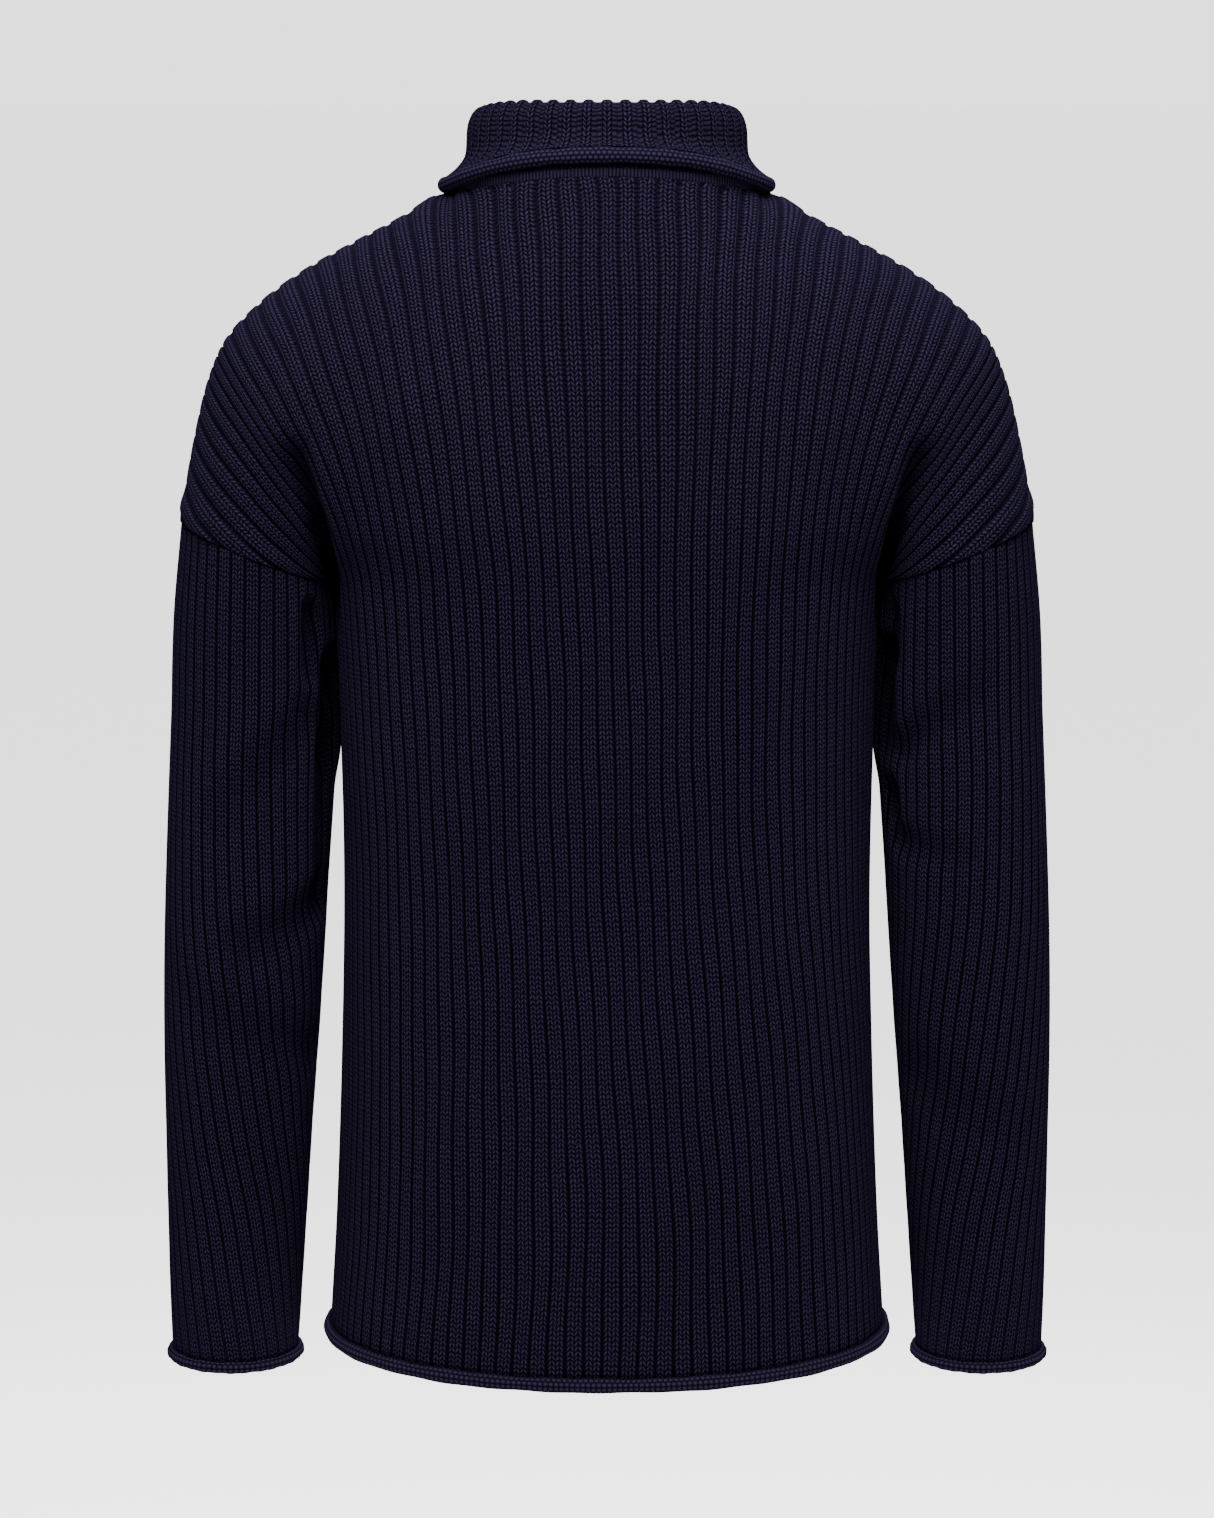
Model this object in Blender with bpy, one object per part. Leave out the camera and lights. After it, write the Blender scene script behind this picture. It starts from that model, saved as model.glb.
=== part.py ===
"""A ribbed roll-neck sweater, filled out as if it were worn, in metres.

+Z is up, +Y is the back, -Y the front and +X the wearer's left. The origin is where the
garment rests on a wearer: the middle of the neck opening, level with the top of the shoulders.

Each knitted piece is a wall whose outer points carry the ribs, over a plain inside. A place on
a body panel is named by a rib number, counted from the middle rib, and a level, which is the
height of that course of stitches at the side seam.
"""

import math

import bpy
import numpy as np

# Knitted cloth, measured from the crown of a rib
WALL = 0.0040
RIB_DEPTH = 0.0018
GROOVE_REACH = 0.17
SEAM_GAP = 0.0003
LOOP_STEPS = 720
NAVY = (0.0105, 0.0100, 0.0270, 1.0)
WOOL_ROUGHNESS = 0.9

# Ribs from the middle of a body panel to its side, and to the corner of the neck
PANEL_RIBS = 26
NECK_RIBS = 8

# More ribs cross the shoulder than the body. These end along each half of an armhole, and share
# the width outside a place that is counted in ribs of the body.
ARMHOLE_RIBS = 4
SHARED_FROM = 20

# Body from the hem up to the underarm. Pitch is from rib to rib at the centre, and turn is
# how far the ribs have run round the body, in ribs. Lift is how much higher a course is at the
# sides than in the middle. At the underarm the middle rib leans over.
SECTION_POWER = 2.3
TORSO_COLUMNS = ("level", "half_width", "back", "front", "pitch", "turn", "lift")
TORSO_SECTIONS = (
    (-0.6920, 0.1682, 0.1235, 0.1130, 0.0106, 1.6, 0.0055),
    (-0.6150, 0.1639, 0.1150, 0.1085, 0.0102, 1.7, 0.0000),
    (-0.5158, 0.1601, 0.1060, 0.1060, 0.0097, 1.3, 0.0000),
    (-0.4176, 0.1581, 0.1010, 0.1080, 0.0093, 0.7, 0.0000),
    (-0.3083, 0.1600, 0.1040, 0.1130, 0.0093, 0.0, 0.0000),
    (-0.2350, 0.1635, 0.1120, 0.1160, 0.0095, 0.0, 0.0000),
)
UNDERARM = -0.2350
LEAN_RIBS = 0.6

# Depth of the centre line from the underarm up to the neck
SPINE_COLUMNS = ("level", "back", "front")
SPINE_SECTIONS = (
    (-0.2350, 0.1120, 0.1160),
    (-0.1700, 0.1180, 0.1170),
    (-0.1000, 0.1130, 0.1060),
    (-0.0450, 0.0960, 0.0890),
    (0.0040, 0.0710, 0.0710),
)

# Neck opening, higher at the back and lower in front
NECK_HALF_WIDTH = 0.0905
NECK_HALF_DEPTH = 0.0710
NECK_HEIGHT = -0.0055
NECK_BACK_RISE = 0.0095
NECK_FRONT_DIP = 0.0250
NECK_EVEN_SHARE = 0.63

# Shoulder line, from the side of the neck out and down to the top of the sleeve, by place
# counted in ribs of the body
SHOULDER_COLUMNS = ("rib", "half_width", "height")
SHOULDER_SECTIONS = (
    (8.0, 0.0905, -0.0055),
    (8.35, 0.0965, -0.0061),
    (8.65, 0.1020, -0.0078),
    (9.05, 0.1100, -0.0125),
    (9.6, 0.1195, -0.0190),
    (12.3, 0.1485, -0.0344),
    (15.2, 0.1800, -0.0520),
    (17.3, 0.2044, -0.0697),
    (20.0, 0.2265, -0.0933),
    (22.3, 0.2372, -0.1180),
    (24.4, 0.2470, -0.1590),
    (26.0, 0.2540, -0.1990),
)

# Courses of the yoke, as shares of the way from the underarm to the top edge. Its levels run
# on above the underarm for the yoke's length.
YOKE_STEPS = (0.0, 0.14, 0.3, 0.48, 0.66, 0.82, 0.93, 1.0)
YOKE_LENGTH = 0.26
ARM_BLEND_POWER = 1.8

# Below the neck's corners the cloth is rounded: a course is an average over these shares of the
# softening, in ribs, which fades away from the corner and, by a power, towards the top edge.
CORNER_SHARES = (-1.0, -0.5, 0.0, 0.5, 1.0)
CORNER_SOFTENING = 3.5
CORNER_REACH = 5.0
CORNER_EDGE_POWER = 8

# Sleeve from the armhole to the cuff, for the wearer's left. Slope is the rise of a course
# from the inside of the arm to the outside. Twist is in ribs, from the outside of the arm
# towards its back. Ribs is how many lie between the outside of the arm and the underarm seam.
SLEEVE_COLUMNS = (
    "level", "centre_x", "half_width", "centre_y", "half_depth", "slope", "twist", "ribs",
)
SLEEVE_SECTIONS = (
    (-0.2176, 0.2088, 0.0443, 0.0000, 0.0620, 0.398, 0.0, 19.5),
    (-0.2735, 0.2106, 0.0491, -0.0080, 0.0610, 0.210, 0.0, 19.5),
    (-0.3050, 0.2113, 0.0500, -0.0110, 0.0605, 0.140, 0.0, 19.5),
    (-0.3342, 0.2128, 0.0500, -0.0135, 0.0600, 0.080, 0.0, 19.5),
    (-0.4197, 0.2178, 0.0493, -0.0150, 0.0570, 0.000, 0.2, 18.8),
    (-0.4950, 0.2215, 0.0478, -0.0170, 0.0545, 0.000, 1.0, 18.0),
    (-0.5680, 0.2243, 0.0448, -0.0170, 0.0520, 0.000, 2.0, 17.2),
    (-0.6180, 0.2258, 0.0428, -0.0170, 0.0492, 0.000, 2.8, 16.4),
    (-0.6682, 0.2273, 0.0407, -0.0170, 0.0465, 0.000, 3.4, 15.7),
    (-0.7090, 0.2282, 0.0386, -0.0170, 0.0445, 0.000, 3.8, 15.0),
)
PANEL_OVER_SLEEVE = 0.0010

# Folds: soft troughs along a line from one place to another, by rib and level. Reach is the
# half width in ribs, and depth is at the line's start. A body panel has its folds on both sides.
RIB_PITCH = 0.0095
FOLD_FADE = 0.6
FOLD_COLUMNS = ("rib", "level", "end_rib", "end_level", "reach", "depth")
PANEL_FOLDS = (
    (23.6, -0.2450, 20.0, -0.1350, 2.4, 0.0160),
)
SLEEVE_FOLDS = (
    (15.0, -0.3000, 8.0, -0.3700, 2.6, 0.0040),
    (16.5, -0.3900, 9.0, -0.4300, 2.4, 0.0040),
    (14.0, -0.5100, 5.0, -0.4700, 2.8, 0.0030),
    (-14.0, -0.4300, -4.0, -0.4800, 3.2, 0.0050),
    (-15.0, -0.4900, -6.0, -0.4550, 2.8, 0.0035),
)

# Neck band, a plain strip that links the body to the collar. Offsets run outwards from the
# edge of the neck opening, and heights up from it.
BAND_TOP = 0.0050
BAND_PROFILE = ((-0.0012, 0.0004), (-0.0012, BAND_TOP), (-0.0045, BAND_TOP), (-0.0045, 0.0004))

# Collar, a ribbed tube folded outwards over its top. The outer layer rises from the rolled
# edge to the fold, and the inner one from the band. At the sides of the neck the fold drops and
# flare is added.
# The first rows of the profile are the ones that show, and carry the ribs.
COLLAR_RIBS = 44
RIDGE_REACH = 0.27
COLLAR_TOP = 0.0480
COLLAR_FRONT_DIP = 0.0280
COLLAR_CORNER_DROP = 0.0045
CORNER_POWER = 4
COLLAR_COLUMNS = ("layer", "rise", "offset", "flare")
COLLAR_PROFILE = (
    ("outer", 0.00, 0.0005, 0.0040),
    ("outer", 0.14, -0.0040, 0.0016),
    ("outer", 0.34, -0.0072, 0.0000),
    ("outer", 0.68, -0.0080, 0.0000),
    ("outer", 0.90, -0.0110, 0.0000),
    ("outer", 1.00, -0.0160, 0.0000),
    ("inner", 0.90, -0.0215, 0.0000),
    ("inner", 0.50, -0.0190, 0.0000),
    ("inner", 0.00, -0.0045, 0.0000),
    ("inner", 0.00, -0.0006, 0.0000),
    ("inner", 0.33, -0.0118, 0.0000),
    ("inner", 0.82, -0.0150, 0.0000),
    ("outer", 0.78, -0.0132, 0.0000),
    ("outer", 0.34, -0.0110, 0.0000),
    ("outer", 0.00, -0.0040, 0.0036),
)
RIBBED_ROWS = 5

# Rolled edges, which a plain knit makes by curling outwards
HEM_ROLL_RADIUS = 0.0042
CUFF_ROLL_RADIUS = 0.0034
COLLAR_ROLL_RADIUS = 0.0046
ROLL_SIDES = 8
HEM_STEPS = 56
CUFF_STEPS = 28
COLLAR_ROLL_MIDDLE = {"offset": 0.0012, "height": 0.0125}
COLLAR_ROLL_CORNER = {"offset": 0.0045, "height": 0.0049}

# Courses of points up the solids, the ribs from one point to the next across a plain inside,
# and the least distance in ribs from a groove's points to the end of a row
PANEL_COURSES = (-0.692, -0.590, -0.480, -0.370, -0.290, -0.235, -0.190, -0.135, -0.070, -0.010, 0.025)
SLEEVE_COURSES = (-0.2176, -0.262, -0.32, -0.39, -0.46, -0.53, -0.60, -0.655, -0.709)
PLAIN_EVERY = 2
END_CLEAR = 0.05


def smooth_between(stations, values, at):
    """Values between stations on a smooth curve that never overshoots them.

    It is a cubic on each gap. Its slope at a station is the harmonic mean of the slopes on
    either side, or level where they differ in sign.
    """
    x, values = np.asarray(stations, float), np.asarray(values, float)
    at = np.clip(np.atleast_1d(np.asarray(at, float)), x[0], x[-1])
    gap = np.diff(x)
    extra = (1,) * (values.ndim - 1)
    slope = np.diff(values, axis=0) / gap.reshape(-1, *extra)
    before, after = slope[:-1], slope[1:]
    product = before * after
    safe = np.where(product > 0, before + after, 1.0)
    inner = np.where(product > 0, 2 * product / safe, 0.0)
    slopes = np.concatenate([slope[:1], inner, slope[-1:]])
    i = np.clip(np.searchsorted(x, at, side="right") - 1, 0, len(gap) - 1)
    t = ((at - x[i]) / gap[i]).reshape(-1, *extra)
    width = gap[i].reshape(-1, *extra)
    start = (1 + 2 * t) * (1 - t) ** 2 * values[i] + t * (1 - t) ** 2 * width * slopes[i]
    return start + t**2 * (3 - 2 * t) * values[i + 1] - t**2 * (1 - t) * width * slopes[i + 1]


def read(sections, columns, name, at):
    """A table's column where its first column has this value, on a smooth curve between rows."""
    rows = sorted(sections, key=lambda row: row[0])
    return smooth_between([row[0] for row in rows], [row[columns.index(name)] for row in rows], at)


def side_ribs(level):
    """Ribs from the middle of a panel to its side, where the armhole takes in more further up."""
    return PANEL_RIBS + ARMHOLE_RIBS * float(np.clip((level - UNDERARM) / YOKE_LENGTH, 0, 1))


def body_places(ribs, level):
    """Where ribs lie across a panel, counted in ribs of the body below the armhole."""
    near, far = [0, SHARED_FROM, side_ribs(level)], [0, SHARED_FROM, PANEL_RIBS]
    return np.sign(ribs) * np.interp(abs(ribs), near, far)


def section_loop(level):
    """A level section of the body from the middle of the back, round past +X, and its run."""
    half_width, back, front, lift = (
        read(TORSO_SECTIONS, TORSO_COLUMNS, name, level)[0]
        for name in ("half_width", "back", "front", "lift")
    )
    angle = np.linspace(0, 2 * math.pi, LOOP_STEPS + 1)
    across, along = np.sin(angle), np.cos(angle)
    x = half_width * np.sign(across) * abs(across) ** (2 / SECTION_POWER)
    y = np.where(along > 0, back, front) * np.sign(along) * abs(along) ** (2 / SECTION_POWER)
    run = np.concatenate([[0.0], np.cumsum(np.hypot(np.diff(x), np.diff(y)))])
    return np.column_stack([x, y, level + lift * (x / half_width) ** 2]), run


def along_loop(points, run, at):
    """Points at a running length round a closed loop."""
    at = np.mod(at, run[-1])
    return np.column_stack([np.interp(at, run, points[:, axis]) for axis in range(3)])


def torso_course(level, ribs, facing):
    """Where the ribs cross one course of the body. Facing is 1 for the back and -1 in front.

    The running length from the centre is pitch times rib, plus a cubic that takes up the rest.
    """
    points, run = section_loop(level)
    corner, middle = run[LOOP_STEPS // 4], run[LOOP_STEPS // 2]
    pitch = read(TORSO_SECTIONS, TORSO_COLUMNS, "pitch", level)[0]
    turn = read(TORSO_SECTIONS, TORSO_COLUMNS, "turn", level)[0]
    quarter = (corner if facing > 0 else middle - corner) - SEAM_GAP / 2
    ribs = ribs - facing * LEAN_RIBS * (1 - (ribs / PANEL_RIBS) ** 2)
    length = pitch * ribs + (quarter - pitch * PANEL_RIBS) * (ribs / PANEL_RIBS) ** 3
    start = length if facing > 0 else middle - length
    return along_loop(points, run, start - turn * pitch)


def neck_ring(angle, offset, height):
    """Points round the neck opening, from the middle of the back past +X, lower in front."""
    x = (NECK_HALF_WIDTH + offset) * np.sin(angle)
    y = (NECK_HALF_DEPTH + offset) * np.cos(angle)
    return np.stack([x, y, neck_height(angle) + height], axis=-1)


def neck_height(angle):
    """Height of the neck opening's edge, by the angle from the middle of the back."""
    along = np.cos(angle)
    rise = np.where(along > 0, NECK_BACK_RISE, -NECK_FRONT_DIP)
    return NECK_HEIGHT + rise * along**2


def top_edge(ribs, facing):
    """Where the ribs end: at the neck opening near the middle, and further out at the shoulder."""
    share = np.clip(ribs / NECK_RIBS, -1, 1)
    angle = math.pi / 2 * (NECK_EVEN_SHARE * share + (1 - NECK_EVEN_SHARE) * share**3)
    neck = neck_ring(angle if facing > 0 else math.pi - angle, 0.0, 0.0)
    x = np.sign(ribs) * read(SHOULDER_SECTIONS, SHOULDER_COLUMNS, "half_width", abs(ribs))
    z = read(SHOULDER_SECTIONS, SHOULDER_COLUMNS, "height", abs(ribs))
    shoulder = np.column_stack([x, 0 * x + facing * SEAM_GAP / 2, z])
    return np.where((abs(ribs) <= NECK_RIBS)[:, None], neck, shoulder)


def sleeve_top():
    """The first section of the sleeve, by column name."""
    return dict(zip(SLEEVE_COLUMNS, SLEEVE_SECTIONS[0]))


def softened_top(ribs, facing):
    """The top edge with its corners at the neck rounded off."""
    spread = CORNER_SOFTENING * np.exp(-(((abs(ribs) - NECK_RIBS) / CORNER_REACH) ** 2))
    return np.mean([top_edge(ribs + share * spread, facing) for share in CORNER_SHARES], axis=0)


def armhole(share, facing, side):
    """The panel's edge round half the arm, from the underarm to the shoulder's outer end."""
    arm = sleeve_top()
    width = arm["half_width"] + PANEL_OVER_SLEEVE
    depth = arm["half_depth"] + PANEL_OVER_SLEEVE
    out = -width * math.cos(math.pi * share)
    back = facing * (depth * math.sin(math.pi * share) + SEAM_GAP / 2)
    rise = UNDERARM + arm["slope"] * (out + width)
    return np.array([side * (arm["centre_x"] + out), back, rise])


def yoke_course(share, ribs, facing):
    """One course above the underarm. Share runs from 0 at the underarm to 1 at the top edge.

    Each rib bends over like a quarter of an ellipse, then takes on what the centre line and
    the armhole add to their own quarter ellipses, by its distance from each of them.
    """
    bottom, top = torso_course(UNDERARM, ribs, facing), softened_top(ribs, facing)
    top += share**CORNER_EDGE_POWER * (top_edge(ribs, facing) - top)
    rise, lean = math.sin(math.pi / 2 * share), 1 - math.cos(math.pi / 2 * share)
    blend = np.array([rise, lean, rise])
    points = bottom + blend * (top - bottom)
    start, end = torso_course(UNDERARM, np.zeros(1), facing)[0], top_edge(np.zeros(1), facing)[0]
    table_level = UNDERARM + (SPINE_SECTIONS[-1][0] - UNDERARM) * rise
    side_name = "back" if facing > 0 else "front"
    spine = start + blend * (end - start)
    depth = read(SPINE_SECTIONS, SPINE_COLUMNS, side_name, table_level)[0]
    centre_extra = np.array([0.0, facing * depth - spine[1], 0.0])
    near_arm = (abs(ribs) / PANEL_RIBS) ** ARM_BLEND_POWER
    points = points + (1 - near_arm)[:, None] * centre_extra
    for side in (-1, 1):
        edge = np.array([side * PANEL_RIBS], float)
        low, high = torso_course(UNDERARM, edge, facing)[0], top_edge(edge, facing)[0]
        extra = armhole(share, facing, side) - (low + blend * (high - low))
        points = points + (near_arm * (np.sign(ribs) == side))[:, None] * extra
    return points


def unit(vectors):
    """The same directions, each one metre long."""
    return vectors / np.linalg.norm(vectors, axis=-1, keepdims=True)


def trough(ribs, levels, folds, mirrored):
    """How deep the folds press each place: a soft capsule round each fold's line."""
    across = abs(ribs) if mirrored else ribs
    place = np.stack(np.broadcast_arrays(across[None, :], levels[:, None] / RIB_PITCH), axis=-1)
    depth = np.zeros(place.shape[:2])
    for values in folds:
        fold = dict(zip(FOLD_COLUMNS, values))
        start = np.array([fold["rib"], fold["level"] / RIB_PITCH])
        line = np.array([fold["end_rib"], fold["end_level"] / RIB_PITCH]) - start
        share = np.clip((place - start) @ line / (line @ line), 0, 1)
        away = np.linalg.norm(place - start - share[..., None] * line, axis=-1) / fold["reach"]
        hollow = (1 + np.cos(math.pi * np.clip(away, 0, 1))) / 2
        depth += fold["depth"] * (1 - FOLD_FADE * share) * hollow
    return depth


def panel_surface(ribs, levels, facing):
    """The crown surface of a body panel and its outward normals, as levels by ribs by 3."""
    stations = [row[0] for row in TORSO_SECTIONS[:-1]]
    courses = [torso_course(level, ribs, facing) for level in stations]
    stations += [UNDERARM + YOKE_LENGTH * share for share in YOKE_STEPS]
    courses += [yoke_course(share, ribs, facing) for share in YOKE_STEPS]
    points = smooth_between(stations, courses, levels)
    normals = facing * unit(np.cross(np.gradient(points, axis=0), np.gradient(points, axis=1)))
    return points - trough(ribs, levels, PANEL_FOLDS, True)[..., None] * normals, normals


def rib_columns(first, last):
    """Rib numbers of the points across a ribbed row, and whether each lies in a groove."""
    grooves = np.arange(math.floor(first) - 1, math.ceil(last) + 1) + 0.5
    clear = GROOVE_REACH + END_CLEAR
    grooves = grooves[(grooves > first + clear) & (grooves < last - clear)]
    columns = (grooves[:, None] + np.array([-GROOVE_REACH, 0, GROOVE_REACH])).ravel()
    low = np.tile([False, True, False], len(grooves))
    return np.concatenate([[first], columns, [last]]), np.concatenate([[False], low, [False]])


def plain_columns(first, last):
    """Rib numbers across a plain row, at every few ribs."""
    widest = PANEL_RIBS + ARMHOLE_RIBS
    inside = np.arange(-widest, widest + 1, PLAIN_EVERY)
    inside = inside[(inside > first + PLAIN_EVERY / 2) & (inside < last - PLAIN_EVERY / 2)]
    return np.concatenate([[first], inside, [last]])


def stitch(low, low_at, high, high_at):
    """Triangles between two rows of points, which step along whichever row is behind."""
    faces, i, j = [], 0, 0
    while i < len(low) - 1 or j < len(high) - 1:
        if j == len(high) - 1 or (i < len(low) - 1 and low_at[i + 1] <= high_at[j + 1]):
            faces.append((low[i], low[i + 1], high[j]))
            i += 1
        else:
            faces.append((low[i], high[j + 1], high[j]))
            j += 1
    return [face for face in faces if len(set(face)) == 3]


def make_object(name, points, faces):
    """A smooth-shaded object with its faces turned outwards and its own wool material."""
    points = np.asarray(points, float)
    faces = np.asarray(faces)
    corners = points[faces]
    if np.linalg.det(corners).sum() < 0:
        faces = faces[:, ::-1]
    mesh = bpy.data.meshes.new(name)
    mesh.from_pydata(points.tolist(), [], faces.tolist())
    mesh.validate()
    mesh.shade_smooth()
    made = bpy.data.objects.new(name, mesh)
    bpy.context.scene.collection.objects.link(made)
    material = bpy.data.materials.new(name + "_wool")
    material.use_nodes = True
    shader = material.node_tree.nodes["Principled BSDF"]
    shader.inputs["Base Color"].default_value = NAVY
    shader.inputs["Roughness"].default_value = WOOL_ROUGHNESS
    mesh.materials.append(material)
    return made


class Wall:
    """Collects rows of points, each with its places along the row, and the faces between them."""

    def __init__(self):
        self.points, self.faces = [], []

    def row(self, points, at, closed=False):
        """Adds a row. A closed row ends at its first point."""
        start = len(self.points)
        count = len(points) - closed
        self.points.extend(points[:count])
        ids = list(range(start, start + count)) + [start] * closed
        return ids, list(at)

    def join(self, low, high):
        self.faces += stitch(*low, *high)

    def join_back(self, low, high):
        self.faces += [face[::-1] for face in stitch(*low, *high)]


def build_panel(name, facing):
    """A body panel: a ribbed outside, a plain inside and a rim all round."""
    levels = np.array(PANEL_COURSES)
    wall = Wall()
    outside, inside = [], []
    for number, level in enumerate(levels):
        last = side_ribs(level)
        ribbed, low = rib_columns(-last, last)
        plain = plain_columns(-last, last)
        outside.append(wall.row(sunk_course(ribbed, levels, number, facing, RIB_DEPTH * low), ribbed))
        inside.append(wall.row(sunk_course(plain, levels, number, facing, WALL), plain))
    for below, above in zip(outside, outside[1:]):
        wall.join(below, above)
    for below, above in zip(inside, inside[1:]):
        wall.join_back(below, above)
    wall.join(inside[0], outside[0])
    wall.join(outside[-1], inside[-1])
    for end in (0, -1):
        for below, above in zip(range(len(levels) - 1), range(1, len(levels))):
            a, b = outside[below][0][end], outside[above][0][end]
            c, d = inside[above][0][end], inside[below][0][end]
            quad = [(a, b, c), (a, c, d)]
            wall.faces += quad if end == 0 else [face[::-1] for face in quad]
    return make_object(name, wall.points, wall.faces)


def sunk_course(ribs, levels, number, facing, depth):
    """One of the panel's courses at these ribs, sunk inwards from the crowns by a depth."""
    places = body_places(ribs, levels[number])
    points, normals = panel_surface(places, levels, facing)
    directions = wall_directions(places, levels, normals, points)
    return points[number] - np.reshape(depth, (-1, 1)) * directions[number]


def wall_directions(ribs, levels, normals, points):
    """Outward directions that the wall's thickness follows, kept level with each seam."""
    directions = normals.copy()
    shoulder = abs(ribs) >= NECK_RIBS
    directions[-1, shoulder, 1] = 0
    yoke = levels > UNDERARM
    arm = sleeve_top()
    for end, side in ((0, -1), (-1, 1)):
        away = points[yoke, end] - np.array([side * arm["centre_x"], 0.0, 0.0])
        away[:, 2] = side * arm["slope"] * away[:, 0]
        directions[yoke, end] = away
        for number in np.flatnonzero(~yoke):
            directions[number, end] = seam_outward(levels[number], side)
    return unit(directions)


def seam_outward(level, side):
    """The outward level direction at a side seam, the same for the panels that meet there."""
    points, run = section_loop(level)
    pitch = read(TORSO_SECTIONS, TORSO_COLUMNS, "pitch", level)[0]
    turn = read(TORSO_SECTIONS, TORSO_COLUMNS, "turn", level)[0]
    seam = run[LOOP_STEPS // 4] if side > 0 else run[LOOP_STEPS * 3 // 4]
    start, end = along_loop(points, run, seam - turn * pitch + np.array([0, SEAM_GAP]))
    return np.array([start[1] - end[1], end[0] - start[0], 0.0])


def sleeve_course(level, ribs, inset):
    """Where the ribs of the left sleeve cross one course, moved inwards by an inset.

    The course is an ellipse. A rib's run round it, from the outside of the arm towards its
    back, is its share of the ribs that lie between there and the underarm seam, plus the twist.
    """
    row = {name: read(SLEEVE_SECTIONS, SLEEVE_COLUMNS, name, level)[0] for name in SLEEVE_COLUMNS[1:]}
    angle = np.linspace(0, 2 * math.pi, LOOP_STEPS + 1)
    x, y = row["half_width"] * np.cos(angle), row["half_depth"] * np.sin(angle)
    run = np.concatenate([[0.0], np.cumsum(np.hypot(np.diff(x), np.diff(y)))])
    across = unit(np.column_stack([x / row["half_width"] ** 2, y / row["half_depth"] ** 2]))
    half = run[-1] / 2
    at = (ribs + row["twist"]) / row["ribs"] * half
    circle = np.column_stack([x, y, 0 * x])
    outward = np.column_stack([across, 0 * x])
    place = along_loop(circle, run, at) - np.reshape(inset, (-1, 1)) * along_loop(outward, run, at)
    place[:, 2] = row["slope"] * place[:, 0]
    return place + np.array([row["centre_x"], row["centre_y"], level]), row["ribs"]


def build_sleeve(name, side):
    """A ribbed tube whose outer ribs end at the underarm seam as it narrows to the cuff."""
    wall = Wall()
    outside, inside = [], []
    for level in SLEEVE_COURSES:
        last = read(SLEEVE_SECTIONS, SLEEVE_COLUMNS, "ribs", level)[0]
        ribbed, low = rib_columns(-last, last)
        plain = plain_columns(-last, last)
        dent = trough(ribbed, np.array([level]), SLEEVE_FOLDS, False)[0]
        outer, _ = sleeve_course(level, ribbed, dent + RIB_DEPTH * low)
        dent = trough(plain, np.array([level]), SLEEVE_FOLDS, False)[0]
        inner, _ = sleeve_course(level, plain, dent + WALL)
        mirror = np.array([side, 1, 1])
        outside.append(wall.row(outer * mirror, ribbed, closed=True))
        inside.append(wall.row(inner * mirror, plain, closed=True))
    for below, above in zip(outside[1:], outside):
        wall.join(below, above)
    for below, above in zip(inside[1:], inside):
        wall.join_back(below, above)
    wall.join(outside[0], inside[0])
    wall.join(inside[-1], outside[-1])
    return make_object(name, wall.points, wall.faces)


def corner_share(angle):
    """0 at the middle of the back and front, and 1 at the sides of the neck."""
    return abs(np.sin(angle)) ** CORNER_POWER


def between(middle, corner, share):
    """From one value to another, in even steps of the share."""
    return middle + (corner - middle) * share


def build_ring(name, rows):
    """A closed ring from rows that run round it, each a pair of points and places."""
    wall = Wall()
    added = [wall.row(points, at, closed=True) for points, at in rows]
    for below, above in zip(added, added[1:] + added[:1]):
        wall.join(below, above)
    return make_object(name, wall.points, wall.faces)


def round_neck(places):
    """Angles round the neck of places counted in collar ribs."""
    return 2 * math.pi * np.asarray(places, float) / COLLAR_RIBS


def build_band():
    """The plain strip round the edge of the neck opening."""
    places = np.arange(0, COLLAR_RIBS + 1)
    rows = [(neck_ring(round_neck(places), offset, height), places) for offset, height in BAND_PROFILE]
    return build_ring("neck_band", rows)


def roll_centre(angle):
    """Offset and height of the centre of the collar's rolled edge."""
    share = corner_share(angle)
    return tuple(
        between(COLLAR_ROLL_MIDDLE[name], COLLAR_ROLL_CORNER[name], share)
        for name in ("offset", "height")
    )


def build_collar():
    """The folded tube. Its ribs are narrow ridges, since its wrong side shows."""
    ridges = (np.arange(COLLAR_RIBS)[:, None] + np.array([0.0, RIDGE_REACH, 1 - RIDGE_REACH])).ravel()
    ribbed = np.concatenate([ridges, [COLLAR_RIBS]])
    high = np.concatenate([np.tile([True, False, False], COLLAR_RIBS), [True]])
    plain = np.arange(0, COLLAR_RIBS + 1)
    rows = []
    for number, values in enumerate(COLLAR_PROFILE):
        row = dict(zip(COLLAR_COLUMNS, values))
        shows = number < RIBBED_ROWS
        places = ribbed if shows else plain
        angle = round_neck(places)
        top = COLLAR_TOP - neck_height(angle) - COLLAR_FRONT_DIP * np.minimum(np.cos(angle), 0) ** 2
        top -= COLLAR_CORNER_DROP * corner_share(angle) ** 2
        low = roll_centre(angle)[1] + COLLAR_ROLL_RADIUS + SEAM_GAP
        foot = low if row["layer"] == "outer" else BAND_TOP + SEAM_GAP
        sunk = RIB_DEPTH * ~high if shows else 0.0
        out = row["offset"] + row["flare"] * corner_share(angle) - sunk
        rows.append((neck_ring(angle, out, foot + (top - foot) * row["rise"]), places))
    return build_ring("collar", rows)


def rolled_edge(name, path, outward, radius):
    """A round roll along a closed path, from its centre points and outward directions."""
    places = np.arange(len(path))
    up = np.array([0.0, 0.0, 1.0])
    rows = []
    for number in range(ROLL_SIDES):
        angle = 2 * math.pi * number / ROLL_SIDES
        rows.append((path + radius * (math.cos(angle) * outward + math.sin(angle) * up), places))
    return build_ring(name, rows)


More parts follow.
